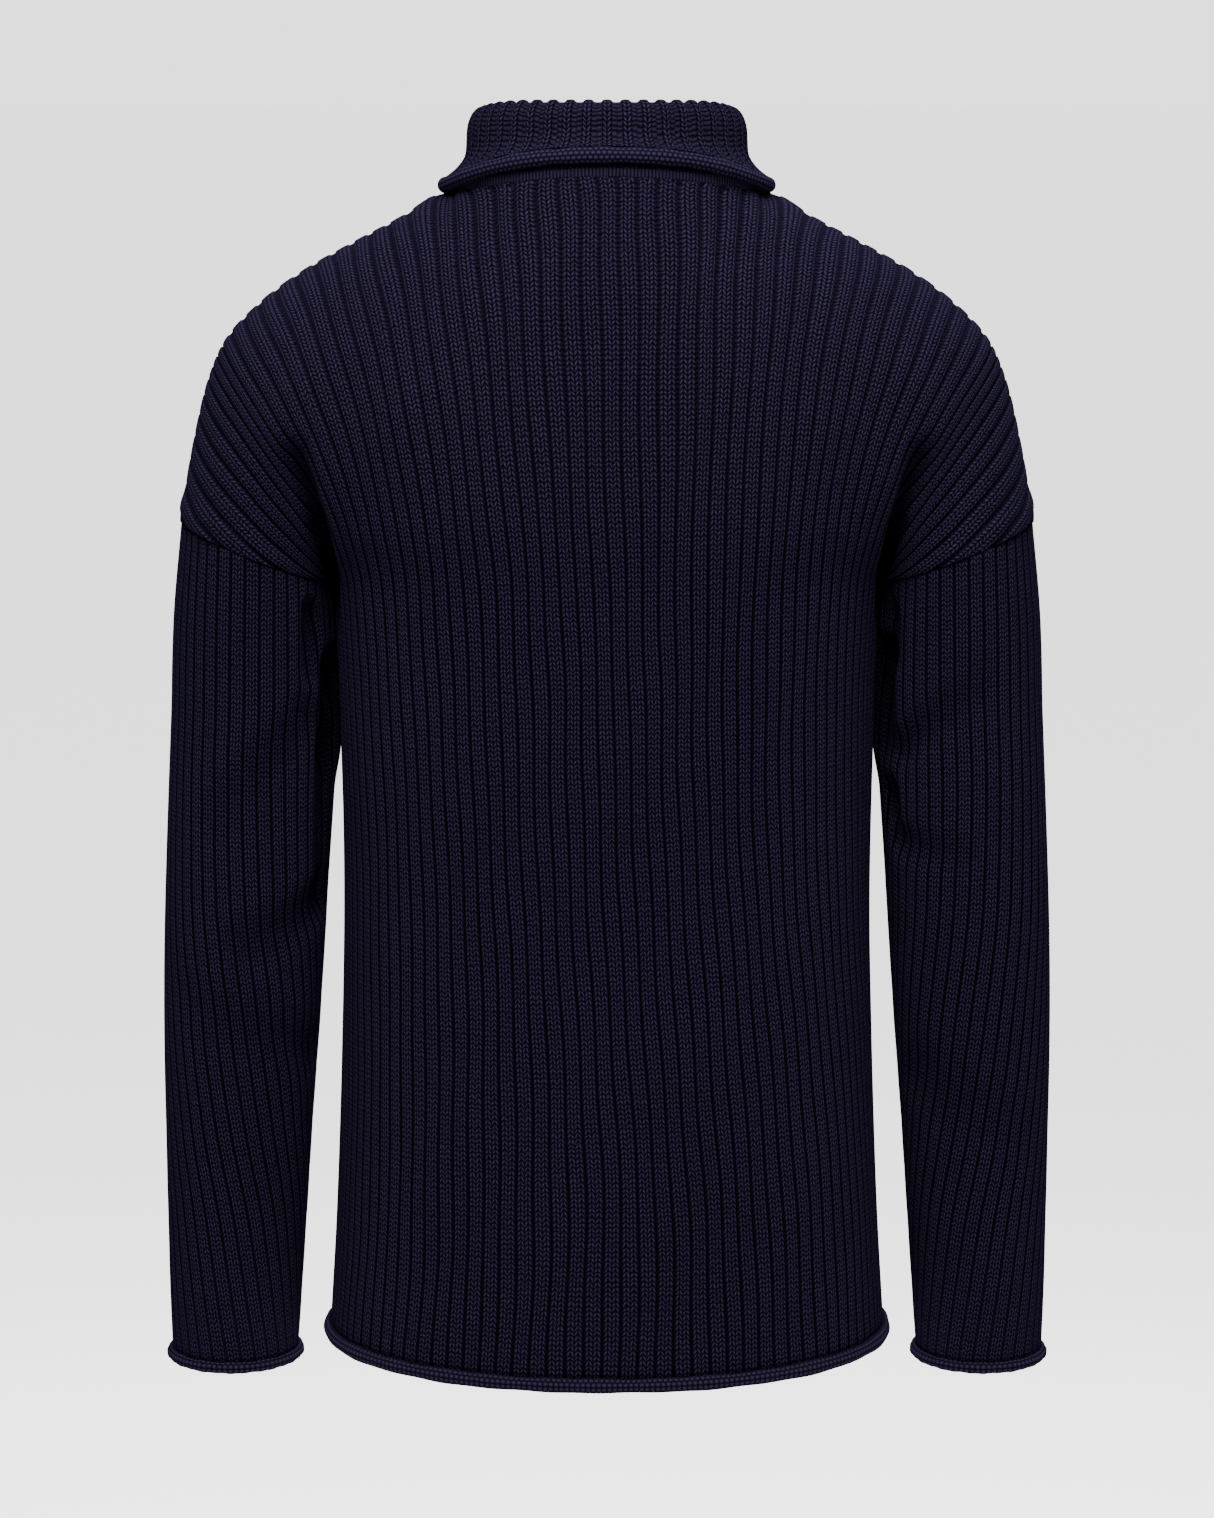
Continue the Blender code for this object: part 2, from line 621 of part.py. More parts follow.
def level_outward(path, centre):
    """Outward level directions of a closed level path."""
    along = np.roll(path[:-1], -1, axis=0) - np.roll(path[:-1], 1, axis=0)
    outward = unit(np.column_stack([along[:, 1], -along[:, 0], 0 * along[:, 0]]))
    outward *= np.sign(((path[:-1] - centre) * outward).sum(axis=1, keepdims=True))
    return np.vstack([outward, outward[:1]])


def build_collar_roll():
    """The curled free edge of the collar."""
    places = np.arange(0, COLLAR_RIBS + 1)
    angle = round_neck(places)
    path = neck_ring(angle, *roll_centre(angle))
    return rolled_edge("collar_roll", path, level_outward(path, np.zeros(3)), COLLAR_ROLL_RADIUS)


def build_hem_roll():
    """The curled edge under the two body panels."""
    points, run = section_loop(TORSO_SECTIONS[0][0])
    at = np.linspace(0, run[-1], HEM_STEPS + 1)
    path = along_loop(points, run, at)
    outward = level_outward(path, np.zeros(3))
    path = path - np.array([0.0, 0.0, HEM_ROLL_RADIUS + SEAM_GAP])
    return rolled_edge("hem_roll", path, outward, HEM_ROLL_RADIUS)


def build_cuff_roll(name, side):
    """The curled edge under one sleeve."""
    level = SLEEVE_COURSES[-1]
    last = read(SLEEVE_SECTIONS, SLEEVE_COLUMNS, "ribs", level)[0]
    ribs = np.linspace(-last, last, CUFF_STEPS + 1)
    path, _ = sleeve_course(level, ribs, 0.0 * ribs)
    path = path * np.array([side, 1, 1])
    outward = level_outward(path, path[:-1].mean(axis=0))
    path = path - np.array([0.0, 0.0, CUFF_ROLL_RADIUS + SEAM_GAP])
    return rolled_edge(name, path, outward, CUFF_ROLL_RADIUS)


def main():
    for old in list(bpy.data.objects):
        bpy.data.objects.remove(old)
    build_panel("back_panel", 1)
    build_panel("front_panel", -1)
    for name, side in (("left", 1), ("right", -1)):
        build_sleeve("sleeve_" + name, side)
        build_cuff_roll("cuff_roll_" + name, side)
    build_band()
    build_collar()
    build_collar_roll()
    build_hem_roll()


main()
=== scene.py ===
# %% [markdown]
# # A ribbed roll-neck sweater
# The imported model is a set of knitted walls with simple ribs. This script lays a finer knit over
# each of them: ribs with rounded crowns, their stitches, rolled edges, seams and creases.
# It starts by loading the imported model, which is never moved or changed.

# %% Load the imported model
import math

import bmesh
import bpy
import numpy as np
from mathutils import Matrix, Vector


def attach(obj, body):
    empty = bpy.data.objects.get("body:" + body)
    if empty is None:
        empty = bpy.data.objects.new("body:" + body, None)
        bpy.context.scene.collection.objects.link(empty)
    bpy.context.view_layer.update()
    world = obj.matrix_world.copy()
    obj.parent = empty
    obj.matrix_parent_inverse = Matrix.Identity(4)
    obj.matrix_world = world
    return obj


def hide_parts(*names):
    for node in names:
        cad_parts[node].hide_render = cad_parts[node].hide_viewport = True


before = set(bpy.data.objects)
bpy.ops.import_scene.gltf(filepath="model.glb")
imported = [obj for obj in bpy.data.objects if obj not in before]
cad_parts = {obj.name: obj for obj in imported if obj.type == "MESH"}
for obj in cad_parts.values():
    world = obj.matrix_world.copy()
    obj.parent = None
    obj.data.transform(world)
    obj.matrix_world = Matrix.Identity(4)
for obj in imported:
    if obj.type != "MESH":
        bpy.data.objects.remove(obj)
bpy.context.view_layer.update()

print("packed nodes:", sorted(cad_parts))

# %% [markdown]
# ## The size of the garment
# A knitter describes a body panel by a few courses: how wide and deep the garment is there and
# how far apart its ribs lie. The tables below say that in metres, a row for each course. They
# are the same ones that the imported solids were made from, so that the finer knit lies on them.

# %% Courses of the body, the yoke, the shoulders and the sleeves
WALL = 0.0040
SEAM_GAP = 0.0003
PANEL_RIBS = 26
NECK_RIBS = 8
ARMHOLE_RIBS = 4
SHARED_FROM = 20
RIB_PITCH = 0.0095
SECTION_POWER = 2.3
UNDERARM = -0.2350
LEAN_RIBS = 0.6
TORSO_COLUMNS = ("level", "half_width", "back", "front", "pitch", "turn", "lift")
TORSO_SECTIONS = (
    (-0.6920, 0.1682, 0.1235, 0.1130, 0.0106, 1.6, 0.0055),
    (-0.6150, 0.1639, 0.1150, 0.1085, 0.0102, 1.7, 0.0000),
    (-0.5158, 0.1601, 0.1060, 0.1060, 0.0097, 1.3, 0.0000),
    (-0.4176, 0.1581, 0.1010, 0.1080, 0.0093, 0.7, 0.0000),
    (-0.3083, 0.1600, 0.1040, 0.1130, 0.0093, 0.0, 0.0000),
    (-0.2350, 0.1635, 0.1120, 0.1160, 0.0095, 0.0, 0.0000),
)
SPINE_COLUMNS = ("level", "back", "front")
SPINE_SECTIONS = (
    (-0.2350, 0.1120, 0.1160),
    (-0.1700, 0.1180, 0.1170),
    (-0.1000, 0.1130, 0.1060),
    (-0.0450, 0.0960, 0.0890),
    (0.0040, 0.0710, 0.0710),
)
NECK_HALF_WIDTH = 0.0905
NECK_HALF_DEPTH = 0.0710
NECK_HEIGHT = -0.0055
NECK_BACK_RISE = 0.0095
NECK_FRONT_DIP = 0.0250
NECK_EVEN_SHARE = 0.63
SHOULDER_COLUMNS = ("rib", "half_width", "height")
SHOULDER_SECTIONS = (
    (8.0, 0.0905, -0.0055),
    (8.35, 0.0965, -0.0061),
    (8.65, 0.1020, -0.0078),
    (9.05, 0.1100, -0.0125),
    (9.6, 0.1195, -0.0190),
    (12.3, 0.1485, -0.0344),
    (15.2, 0.1800, -0.0520),
    (17.3, 0.2044, -0.0697),
    (20.0, 0.2265, -0.0933),
    (22.3, 0.2372, -0.1180),
    (24.4, 0.2470, -0.1590),
    (26.0, 0.2540, -0.1990),
)
YOKE_STEPS = (0.0, 0.14, 0.3, 0.48, 0.66, 0.82, 0.93, 1.0)
YOKE_LENGTH = 0.26
ARM_BLEND_POWER = 1.8
CORNER_SHARES = (-1.0, -0.5, 0.0, 0.5, 1.0)
CORNER_SOFTENING = 3.5
CORNER_REACH = 5.0
CORNER_EDGE_POWER = 8
SLEEVE_COLUMNS = (
    "level", "centre_x", "half_width", "centre_y", "half_depth", "slope", "twist", "ribs",
)
SLEEVE_SECTIONS = (
    (-0.2176, 0.2088, 0.0443, 0.0000, 0.0620, 0.398, 0.0, 19.5),
    (-0.2735, 0.2106, 0.0491, -0.0080, 0.0610, 0.210, 0.0, 19.5),
    (-0.3050, 0.2113, 0.0500, -0.0110, 0.0605, 0.140, 0.0, 19.5),
    (-0.3342, 0.2128, 0.0500, -0.0135, 0.0600, 0.080, 0.0, 19.5),
    (-0.4197, 0.2178, 0.0493, -0.0150, 0.0570, 0.000, 0.2, 18.8),
    (-0.4950, 0.2215, 0.0478, -0.0170, 0.0545, 0.000, 1.0, 18.0),
    (-0.5680, 0.2243, 0.0448, -0.0170, 0.0520, 0.000, 2.0, 17.2),
    (-0.6180, 0.2258, 0.0428, -0.0170, 0.0492, 0.000, 2.8, 16.4),
    (-0.6682, 0.2273, 0.0407, -0.0170, 0.0465, 0.000, 3.4, 15.7),
    (-0.7090, 0.2282, 0.0386, -0.0170, 0.0445, 0.000, 3.8, 15.0),
)
PANEL_OVER_SLEEVE = 0.0010
print("chest level:", UNDERARM, "m; ribs on a panel:", 2 * PANEL_RIBS)

# %% [markdown]
# ## Reading a table smoothly
# Between two measured courses the real cloth changes gently and never bulges past either. A
# cubic on each gap does the same when its slope at a course is the harmonic mean of the slopes
# on both sides, and level where they differ in sign.

# %% Smooth curves through the tables
def smooth_between(stations, values, at):
    """On each gap: a cubic through both ends, with harmonic-mean slopes at the stations."""
    x, values = np.asarray(stations, float), np.asarray(values, float)
    at = np.clip(np.atleast_1d(np.asarray(at, float)), x[0], x[-1])
    gap = np.diff(x)
    extra = (1,) * (values.ndim - 1)
    slope = np.diff(values, axis=0) / gap.reshape(-1, *extra)
    before, after = slope[:-1], slope[1:]
    product = before * after
    safe = np.where(product > 0, before + after, 1.0)
    slopes = np.concatenate([slope[:1], np.where(product > 0, 2 * product / safe, 0.0), slope[-1:]])
    i = np.clip(np.searchsorted(x, at, side="right") - 1, 0, len(gap) - 1)
    t = ((at - x[i]) / gap[i]).reshape(-1, *extra)
    width = gap[i].reshape(-1, *extra)
    start = (1 + 2 * t) * (1 - t) ** 2 * values[i] + t * (1 - t) ** 2 * width * slopes[i]
    return start + t**2 * (3 - 2 * t) * values[i + 1] - t**2 * (1 - t) * width * slopes[i + 1]


def read(sections, columns, name, at):
    """A named column of a table, where the table's first column has the value asked for."""
    rows = sorted(sections, key=lambda row: row[0])
    return smooth_between([row[0] for row in rows], [row[columns.index(name)] for row in rows], at)


def unit(vectors):
    """Each vector divided by its own length."""
    return vectors / np.linalg.norm(vectors, axis=-1, keepdims=True)


def running_length(points):
    """The distance along a line of points, from its first point."""
    steps = np.linalg.norm(np.diff(points, axis=0), axis=-1)
    return np.concatenate([[0.0], np.cumsum(steps)])


print("half width at the chest:", read(TORSO_SECTIONS, TORSO_COLUMNS, "half_width", UNDERARM)[0])

# %% [markdown]
# ## The form of a body panel
# Below the arms each course of the body is a rounded oblong. Above them the ribs bend over the
# shoulder blades to the neck and the shoulder line. A skin stretched between four edges would
# do, and so would a sculpted mesh. Here each rib bends like a quarter of an ellipse and then
# takes on what the centre line and the armhole add, so that one formula gives both panels.

# %% Courses below the arms
LOOP_STEPS = 720


def side_ribs(level):
    """The body's ribs plus those of the armhole, in proportion to the height above the underarm."""
    return PANEL_RIBS + ARMHOLE_RIBS * np.clip((level - UNDERARM) / YOKE_LENGTH, 0, 1)


def body_places(ribs, level):
    """The rib's own number near the middle; further out, an even share of the width left."""
    last = side_ribs(level)
    spread = (PANEL_RIBS - SHARED_FROM) / (last - SHARED_FROM)
    outer = SHARED_FROM + (abs(ribs) - SHARED_FROM) * spread
    return np.sign(ribs) * np.where(abs(ribs) < SHARED_FROM, abs(ribs), outer)


def section_loop(level):
    """A superellipse: x = a |sin t|^(2/p) and y = b |cos t|^(2/p), from the middle of the back."""
    half_width, back, front, lift = (
        read(TORSO_SECTIONS, TORSO_COLUMNS, name, level)[0]
        for name in ("half_width", "back", "front", "lift")
    )
    angle = np.linspace(0, 2 * math.pi, LOOP_STEPS + 1)
    across, along = np.sin(angle), np.cos(angle)
    x = half_width * np.sign(across) * abs(across) ** (2 / SECTION_POWER)
    y = np.where(along > 0, back, front) * np.sign(along) * abs(along) ** (2 / SECTION_POWER)
    run = running_length(np.column_stack([x, y]))
    return np.column_stack([x, y, level + lift * (x / half_width) ** 2]), run


def along_loop(points, run, at):
    """Points at a running length round a closed loop."""
    at = np.mod(at, run[-1])
    return np.column_stack([np.interp(at, run, points[:, axis]) for axis in range(3)])


def torso_course(level, ribs, facing):
    """Running length = pitch times rib, plus a cubic for the rest. Facing is 1 for the back."""
    points, run = section_loop(level)
    corner, middle = run[LOOP_STEPS // 4], run[LOOP_STEPS // 2]
    pitch = read(TORSO_SECTIONS, TORSO_COLUMNS, "pitch", level)[0]
    turn = read(TORSO_SECTIONS, TORSO_COLUMNS, "turn", level)[0]
    quarter = (corner if facing > 0 else middle - corner) - SEAM_GAP / 2
    ribs = ribs - facing * LEAN_RIBS * (1 - (ribs / PANEL_RIBS) ** 2)
    length = pitch * ribs + (quarter - pitch * PANEL_RIBS) * (ribs / PANEL_RIBS) ** 3
    start = length if facing > 0 else middle - length
    return along_loop(points, run, start - turn * pitch)


print("hem all round:", round(section_loop(TORSO_SECTIONS[0][0])[1][-1], 3), "m")


# %% Courses of the yoke, over the shoulders
def neck_height(angle):
    """Height of the neck edge: level at the sides, plus rise times cos squared."""
    along = np.cos(angle)
    return NECK_HEIGHT + np.where(along > 0, NECK_BACK_RISE, -NECK_FRONT_DIP) * along**2


def neck_ring(angle, offset, height):
    """An ellipse round the neck opening, moved out by an offset and up by a height."""
    x = (NECK_HALF_WIDTH + offset) * np.sin(angle)
    y = (NECK_HALF_DEPTH + offset) * np.cos(angle)
    return np.stack([x, y, neck_height(angle) + height], axis=-1)


def top_edge(ribs, facing):
    """Where ribs end: on the neck ellipse near the middle, and on the shoulder line beyond it."""
    share = np.clip(ribs / NECK_RIBS, -1, 1)
    angle = math.pi / 2 * (NECK_EVEN_SHARE * share + (1 - NECK_EVEN_SHARE) * share**3)
    neck = neck_ring(angle if facing > 0 else math.pi - angle, 0.0, 0.0)
    x = np.sign(ribs) * read(SHOULDER_SECTIONS, SHOULDER_COLUMNS, "half_width", abs(ribs))
    z = read(SHOULDER_SECTIONS, SHOULDER_COLUMNS, "height", abs(ribs))
    shoulder = np.column_stack([x, 0 * x + facing * SEAM_GAP / 2, z])
    return np.where((abs(ribs) <= NECK_RIBS)[:, None], neck, shoulder)


def softened_top(ribs, facing):
    """The mean of the top edge over a few ribs, most widely at the corners of the neck."""
    spread = CORNER_SOFTENING * np.exp(-(((abs(ribs) - NECK_RIBS) / CORNER_REACH) ** 2))
    return np.mean([top_edge(ribs + share * spread, facing) for share in CORNER_SHARES], axis=0)


SLEEVE_TOP = dict(zip(SLEEVE_COLUMNS, SLEEVE_SECTIONS[0]))


def armhole(share, facing, side):
    """Half an ellipse in a tilted plane, from the underarm to the shoulder's outer end."""
    width = SLEEVE_TOP["half_width"] + PANEL_OVER_SLEEVE
    depth = SLEEVE_TOP["half_depth"] + PANEL_OVER_SLEEVE
    out = -width * math.cos(math.pi * share)
    back = facing * (depth * math.sin(math.pi * share) + SEAM_GAP / 2)
    height = UNDERARM + SLEEVE_TOP["slope"] * (out + width)
    return np.array([side * (SLEEVE_TOP["centre_x"] + out), back, height])


def yoke_course(share, ribs, facing):
    """Bottom + blend (top - bottom), blend being sin for x and z and 1 - cos for y, plus extras."""
    bottom, top = torso_course(UNDERARM, ribs, facing), softened_top(ribs, facing)
    top += share**CORNER_EDGE_POWER * (top_edge(ribs, facing) - top)
    rise, lean = math.sin(math.pi / 2 * share), 1 - math.cos(math.pi / 2 * share)
    blend = np.array([rise, lean, rise])
    points = bottom + blend * (top - bottom)
    start, end = torso_course(UNDERARM, np.zeros(1), facing)[0], top_edge(np.zeros(1), facing)[0]
    table_level = UNDERARM + (SPINE_SECTIONS[-1][0] - UNDERARM) * rise
    depth = read(SPINE_SECTIONS, SPINE_COLUMNS, "back" if facing > 0 else "front", table_level)[0]
    near_arm = (abs(ribs) / PANEL_RIBS) ** ARM_BLEND_POWER
    extra = facing * depth - (start + blend * (end - start))[1]
    points = points + (1 - near_arm)[:, None] * np.array([0.0, extra, 0.0])
    for side in (-1, 1):
        edge = np.array([side * PANEL_RIBS], float)
        low, high = torso_course(UNDERARM, edge, facing)[0], top_edge(edge, facing)[0]
        extra = armhole(share, facing, side) - (low + blend * (high - low))
        points = points + (near_arm * (np.sign(ribs) == side))[:, None] * extra
    return points


print("shoulder's outer end:", top_edge(np.array([PANEL_RIBS]), 1).round(4).tolist())

# %% [markdown]
# ## Creases
# A garment filled out by a body keeps a few soft folds, deepest where the sleeve hangs from the
# underarm. Cloth simulation could find some, but not these ones, so each is listed: a
# trough along a line from one place to another, by rib and level, that fades to its end.

# %% Folds and soft hollows
FOLD_FADE = 0.6
FOLD_COLUMNS = ("rib", "level", "end_rib", "end_level", "reach", "depth")
PANEL_FOLDS = (
    (23.6, -0.2450, 20.0, -0.1350, 2.4, 0.0160),
    (23.8, -0.2200, 22.4, -0.1750, 1.3, 0.0080),
)
LEFT_SLEEVE_FOLDS = (
    (14.9, -0.2400, 14.4, -0.2800, 1.5, 0.0075),
    (17.6, -0.2800, 17.2, -0.3320, 2.5, 0.0115),
    (17.0, -0.3300, 16.8, -0.4250, 2.2, 0.0070),
    (14.0, -0.3100, 8.0, -0.3700, 2.4, 0.0035),
    (17.0, -0.4250, 9.0, -0.4500, 2.4, 0.0055),
    (14.0, -0.5200, 5.0, -0.4850, 2.8, 0.0028),
    (-16.6, -0.2500, -16.2, -0.3600, 2.7, 0.0085),
    (-14.0, -0.4200, -4.0, -0.4700, 3.0, 0.0050),
    (-15.0, -0.5000, -6.0, -0.5150, 2.6, 0.0030),
)
RIGHT_SLEEVE_FOLDS = (
    (17.4, -0.2700, 17.2, -0.3250, 2.4, 0.0115),
    (16.2, -0.2400, 15.6, -0.2700, 1.4, 0.0050),
    (15.0, -0.3300, 9.0, -0.2950, 2.0, 0.0040),
    (16.6, -0.3600, 16.2, -0.3850, 1.6, 0.0085),
    (15.0, -0.3900, 10.0, -0.3950, 1.8, 0.0040),
    (12.0, -0.5300, 4.0, -0.5650, 3.0, 0.0026),
    (-16.8, -0.2500, -16.4, -0.3700, 2.6, 0.0085),
    (-15.0, -0.3900, -6.0, -0.4150, 2.8, 0.0045),
    (-13.0, -0.4900, -4.0, -0.5300, 2.6, 0.0034),
)
SLEEVE_FULLNESS = (
    (19.5, -0.3300, 19.5, -0.2500, 3.6, -0.0026),
    (19.5, -0.2380, 19.5, -0.2500, 3.0, -0.0030),
)
# Painted shade: a fold this deep has its colour painted fully dark in its trough.
FULL_SHADE_DEPTH = 0.0070


def trough(ribs, levels, folds, mirrored):
    """Depth times (1 + cos(pi d)) / 2, d being the distance to the fold's line over its reach."""
    across = abs(ribs) if mirrored else ribs
    place = np.stack(np.broadcast_arrays(across, levels / RIB_PITCH), axis=-1)
    depth = np.zeros(place.shape[:-1])
    for values in folds:
        fold = dict(zip(FOLD_COLUMNS, values))
        start = np.array([fold["rib"], fold["level"] / RIB_PITCH])
        line = np.array([fold["end_rib"], fold["end_level"] / RIB_PITCH]) - start
        share = np.clip((place - start) @ line / (line @ line), 0, 1)
        away = np.linalg.norm(place - start - share[..., None] * line, axis=-1) / fold["reach"]
        deepest = fold["depth"] * (1 - FOLD_FADE * share)
        depth += deepest * (1 + np.cos(math.pi * np.clip(away, 0, 1))) / 2
    return depth


print("folds on a panel:", len(PANEL_FOLDS), "and on a sleeve:", len(LEFT_SLEEVE_FOLDS))

# %% [markdown]
# ## Ribs
# This rib is two knit columns and one sunken purl column. The knit columns draw together into a
# flat crown with round shoulders, and the purl column hides at the bottom of a steep groove,
# which opens where the cloth is stretched over the yoke. Points are spaced closely on the
# shoulders of a rib and widely on its crown, which gives a clean groove with few faces.

# %% Cross-section of a rib
HALF_ACROSS = np.array([0.0, 0.2, 0.32, 0.38, 0.42, 0.455, 0.5])
ACROSS = np.concatenate([-HALF_ACROSS[:0:-1], HALF_ACROSS])
MIDDLE = len(ACROSS) // 2
RIB_FLANK = 0.10
RIB_DOME = 0.0003
EDGE_TUCK = 0.0015
COURSE = 0.0029


def rib_relief(across, groove, depth):
    """Dome plus depth (1 - sqrt(1 - x^2)), x running from 0 to 1 over the rib's shoulder."""
    x = np.clip((abs(across) - (0.5 - groove - RIB_FLANK)) / RIB_FLANK, 0, 1)
    drop = 1 - np.sqrt(1 - x**2)
    return RIB_DOME * (2 * across) ** 2 + depth * drop, drop


print("points across a rib:", len(ACROSS))

# %% [markdown]
# ## From rows of ribs to a closed shell
# Every ribbed piece is built the same way: rows of ribs outside, a plain and coarser inside a
# wall's thickness away, and a rim between them. A Solidify modifier would copy the ribs to the
# inside and double the faces. Each rib keeps its own stitch rows, square to the rib, in a UV
# map: U counts ribs and V counts courses. Ribs share their edges once doubles are merged.

# %% Mesh helpers
MERGE = 2e-5
TINY = 1e-6


def make_mesh(name, points, faces, uv, groove, painted_shade):
    """One merged mesh with a UV map named knit and point attributes: the groove, and the painted
    shade.
    """
    mesh = bpy.data.meshes.new(name)
    mesh.from_pydata(points.tolist(), [], [face for group in faces for face in group.tolist()])
    corner = np.empty(len(mesh.loops), np.int32)
    mesh.loops.foreach_get("vertex_index", corner)
    mesh.uv_layers.new(name="knit").data.foreach_set("uv", uv[corner].ravel())
    mesh.attributes.new("groove", "FLOAT", "POINT").data.foreach_set("value", groove)
    mesh.attributes.new("painted_shade", "FLOAT", "POINT").data.foreach_set("value", painted_shade)
    shape = bmesh.new()
    shape.from_mesh(mesh)
    bmesh.ops.remove_doubles(shape, verts=shape.verts, dist=MERGE)
    bmesh.ops.recalc_face_normals(shape, faces=shape.faces)
    shape.to_mesh(mesh)
    shape.free()
    mesh.shade_smooth()
    made = bpy.data.objects.new(name, mesh)
    bpy.context.scene.collection.objects.link(made)
    triangles = sum(len(face.vertices) - 2 for face in mesh.polygons)
    print(name, len(mesh.vertices), "points,", triangles, "triangles")
    return made


def quads(ids):
    """The quads between neighbouring rows and columns of a grid of point numbers."""
    corners = ids[:-1, ..., :-1], ids[:-1, ..., 1:], ids[1:, ..., 1:], ids[1:, ..., :-1]
    return np.stack(corners, axis=-1).reshape(-1, 4)


def stitch_rows(outer, ribs):
    """U is the rib number. V is the length along the rib's own middle, in courses of stitches."""
    middle = outer[:, :, MIDDLE : MIDDLE + 1]
    steps = np.linalg.norm(np.diff(middle, axis=0), axis=-1)
    run = np.concatenate([0 * steps[:1], np.cumsum(steps, axis=0)])
    along = unit(np.gradient(middle, axis=0) + np.array([0.0, 0.0, TINY]))
    beside = ((outer - middle) * along).sum(axis=-1)
    return np.stack(np.broadcast_arrays(ribs, (run + beside) / COURSE), axis=-1)


def ribbed_shell(name, outer, ribs, groove, painted_shade, inner, every, closed):
    """Quads over the ribs, coarser quads inside, and rim faces from each rib to the inside."""
    rows, count, wide = outer.shape[:3]
    ids = np.arange(rows * count * wide).reshape(rows, count, wide)
    inside = np.arange(inner.shape[0] * inner.shape[1]).reshape(inner.shape[:2]) + ids.size
    faces = [quads(ids), quads(inside)]
    for row in (0, -1):
        faces.append(np.column_stack([ids[row], inside[row, 1:], inside[row, :-1]]))
    if not closed:
        starts = np.arange(0, rows - 1, every)[:, None] + np.arange(every + 1)
        for end in (0, -1):
            rim = ids[starts, end, end], inside[1:, end], inside[:-1, end]
            faces.append(np.column_stack(rim))
    points = np.concatenate([outer.reshape(-1, 3), inner.reshape(-1, 3)])
    uv = np.concatenate([stitch_rows(outer, ribs).reshape(-1, 2), np.zeros((inside.size, 2))])
    # The inside counts as groove all over: purl stitches, and the grooves' painted shade.
    hollow = np.concatenate([groove.ravel(), np.ones(inside.size)])
    # Painted shade in folds and grooves, from none to full.
    shade_share = np.concatenate([np.clip(painted_shade, 0, 1).ravel(), np.zeros(inside.size)])
    return make_mesh(name, points, faces, uv, hollow, shade_share)


# %% [markdown]
# ## The two body panels
# The back and the front are the same cut. More ribs cross the shoulder than the chest, so near
# the armhole they run off the edge at a slant, as they do where a knitter casts off stitches,
# and the linked seam leaves a low welt beside the edge.

# %% Body panels
PANEL_ROWS = 145
INSIDE_EVERY = 4
GRID_STEP = 0.25
PANEL_TOP = UNDERARM + YOKE_LENGTH
# The shade column is painted shade: how much darker the colour is painted at a groove's bottom.
GROOVE_COLUMNS = ("level", "half_width", "depth", "shade")
PANEL_GROOVES = (
    (-0.6920, 0.050, 0.0023, 0.8),
    (-0.4500, 0.045, 0.0024, 0.9),
    (-0.2350, 0.055, 0.0024, 0.8),
    (-0.1200, 0.090, 0.0022, 0.45),
    (-0.0300, 0.125, 0.0015, 0.4),
    (0.0250, 0.125, 0.0008, 0.4),
)
WOBBLE_RIBS = 0.045
WOBBLE_WAVES = ((61, 0.9), (23, -0.37))
DRIFT_COLUMNS = ("level", "drift")
RIB_DRIFT = (
    (-0.6920, 0.0),
    (-0.5158, 0.0),
    (-0.4176, 0.0),
    (-0.3083, -0.3),
    (-0.2350, -0.1),
    (-0.1500, 0.0),
    (0.0250, 0.0),
)
WELT_RIBS = 0.7
WELT_RISE = 0.0012
WELT_WAVES = 140.0
WELT_UNEVEN = 0.3
GRID_MARGIN = 1.001


def panel_form(levels, facing):
    """The crown surface on an even grid of ribs and levels, and the directions of its wall."""
    ribs = np.linspace(-PANEL_RIBS, PANEL_RIBS, round(2 * PANEL_RIBS / GRID_STEP) + 1)
    stations = [row[0] for row in TORSO_SECTIONS[:-1]]
    courses = [torso_course(level, ribs, facing) for level in stations]
    stations += [UNDERARM + YOKE_LENGTH * share for share in YOKE_STEPS]
    courses += [yoke_course(share, ribs, facing) for share in YOKE_STEPS]
    points = smooth_between(stations, courses, levels)
    outward = facing * unit(np.cross(np.gradient(points, axis=0), np.gradient(points, axis=1)))
    points = points - trough(ribs, levels[:, None], PANEL_FOLDS, True)[..., None] * outward
    outward[-1, abs(ribs) >= NECK_RIBS, 1] = 0
    yoke = levels > UNDERARM
    for end, side in ((0, -1), (-1, 1)):
        away = points[yoke, end] - np.array([side * SLEEVE_TOP["centre_x"], 0.0, 0.0])
        away[:, 2] = side * SLEEVE_TOP["slope"] * away[:, 0]
        outward[yoke, end] = away
    return points, unit(outward)


def on_grid(grid, ribs):
    """Values between the grid's columns, in proportion to the distance from each."""
    at = np.clip((ribs + PANEL_RIBS) / GRID_STEP, 0, grid.shape[1] - GRID_MARGIN)
    low = at.astype(int)
    row = np.arange(len(grid)).reshape(-1, *(1,) * (ribs.ndim - 1))
    part = (at - low)[..., None]
    return grid[row, low] * (1 - part) + grid[row, low + 1] * part


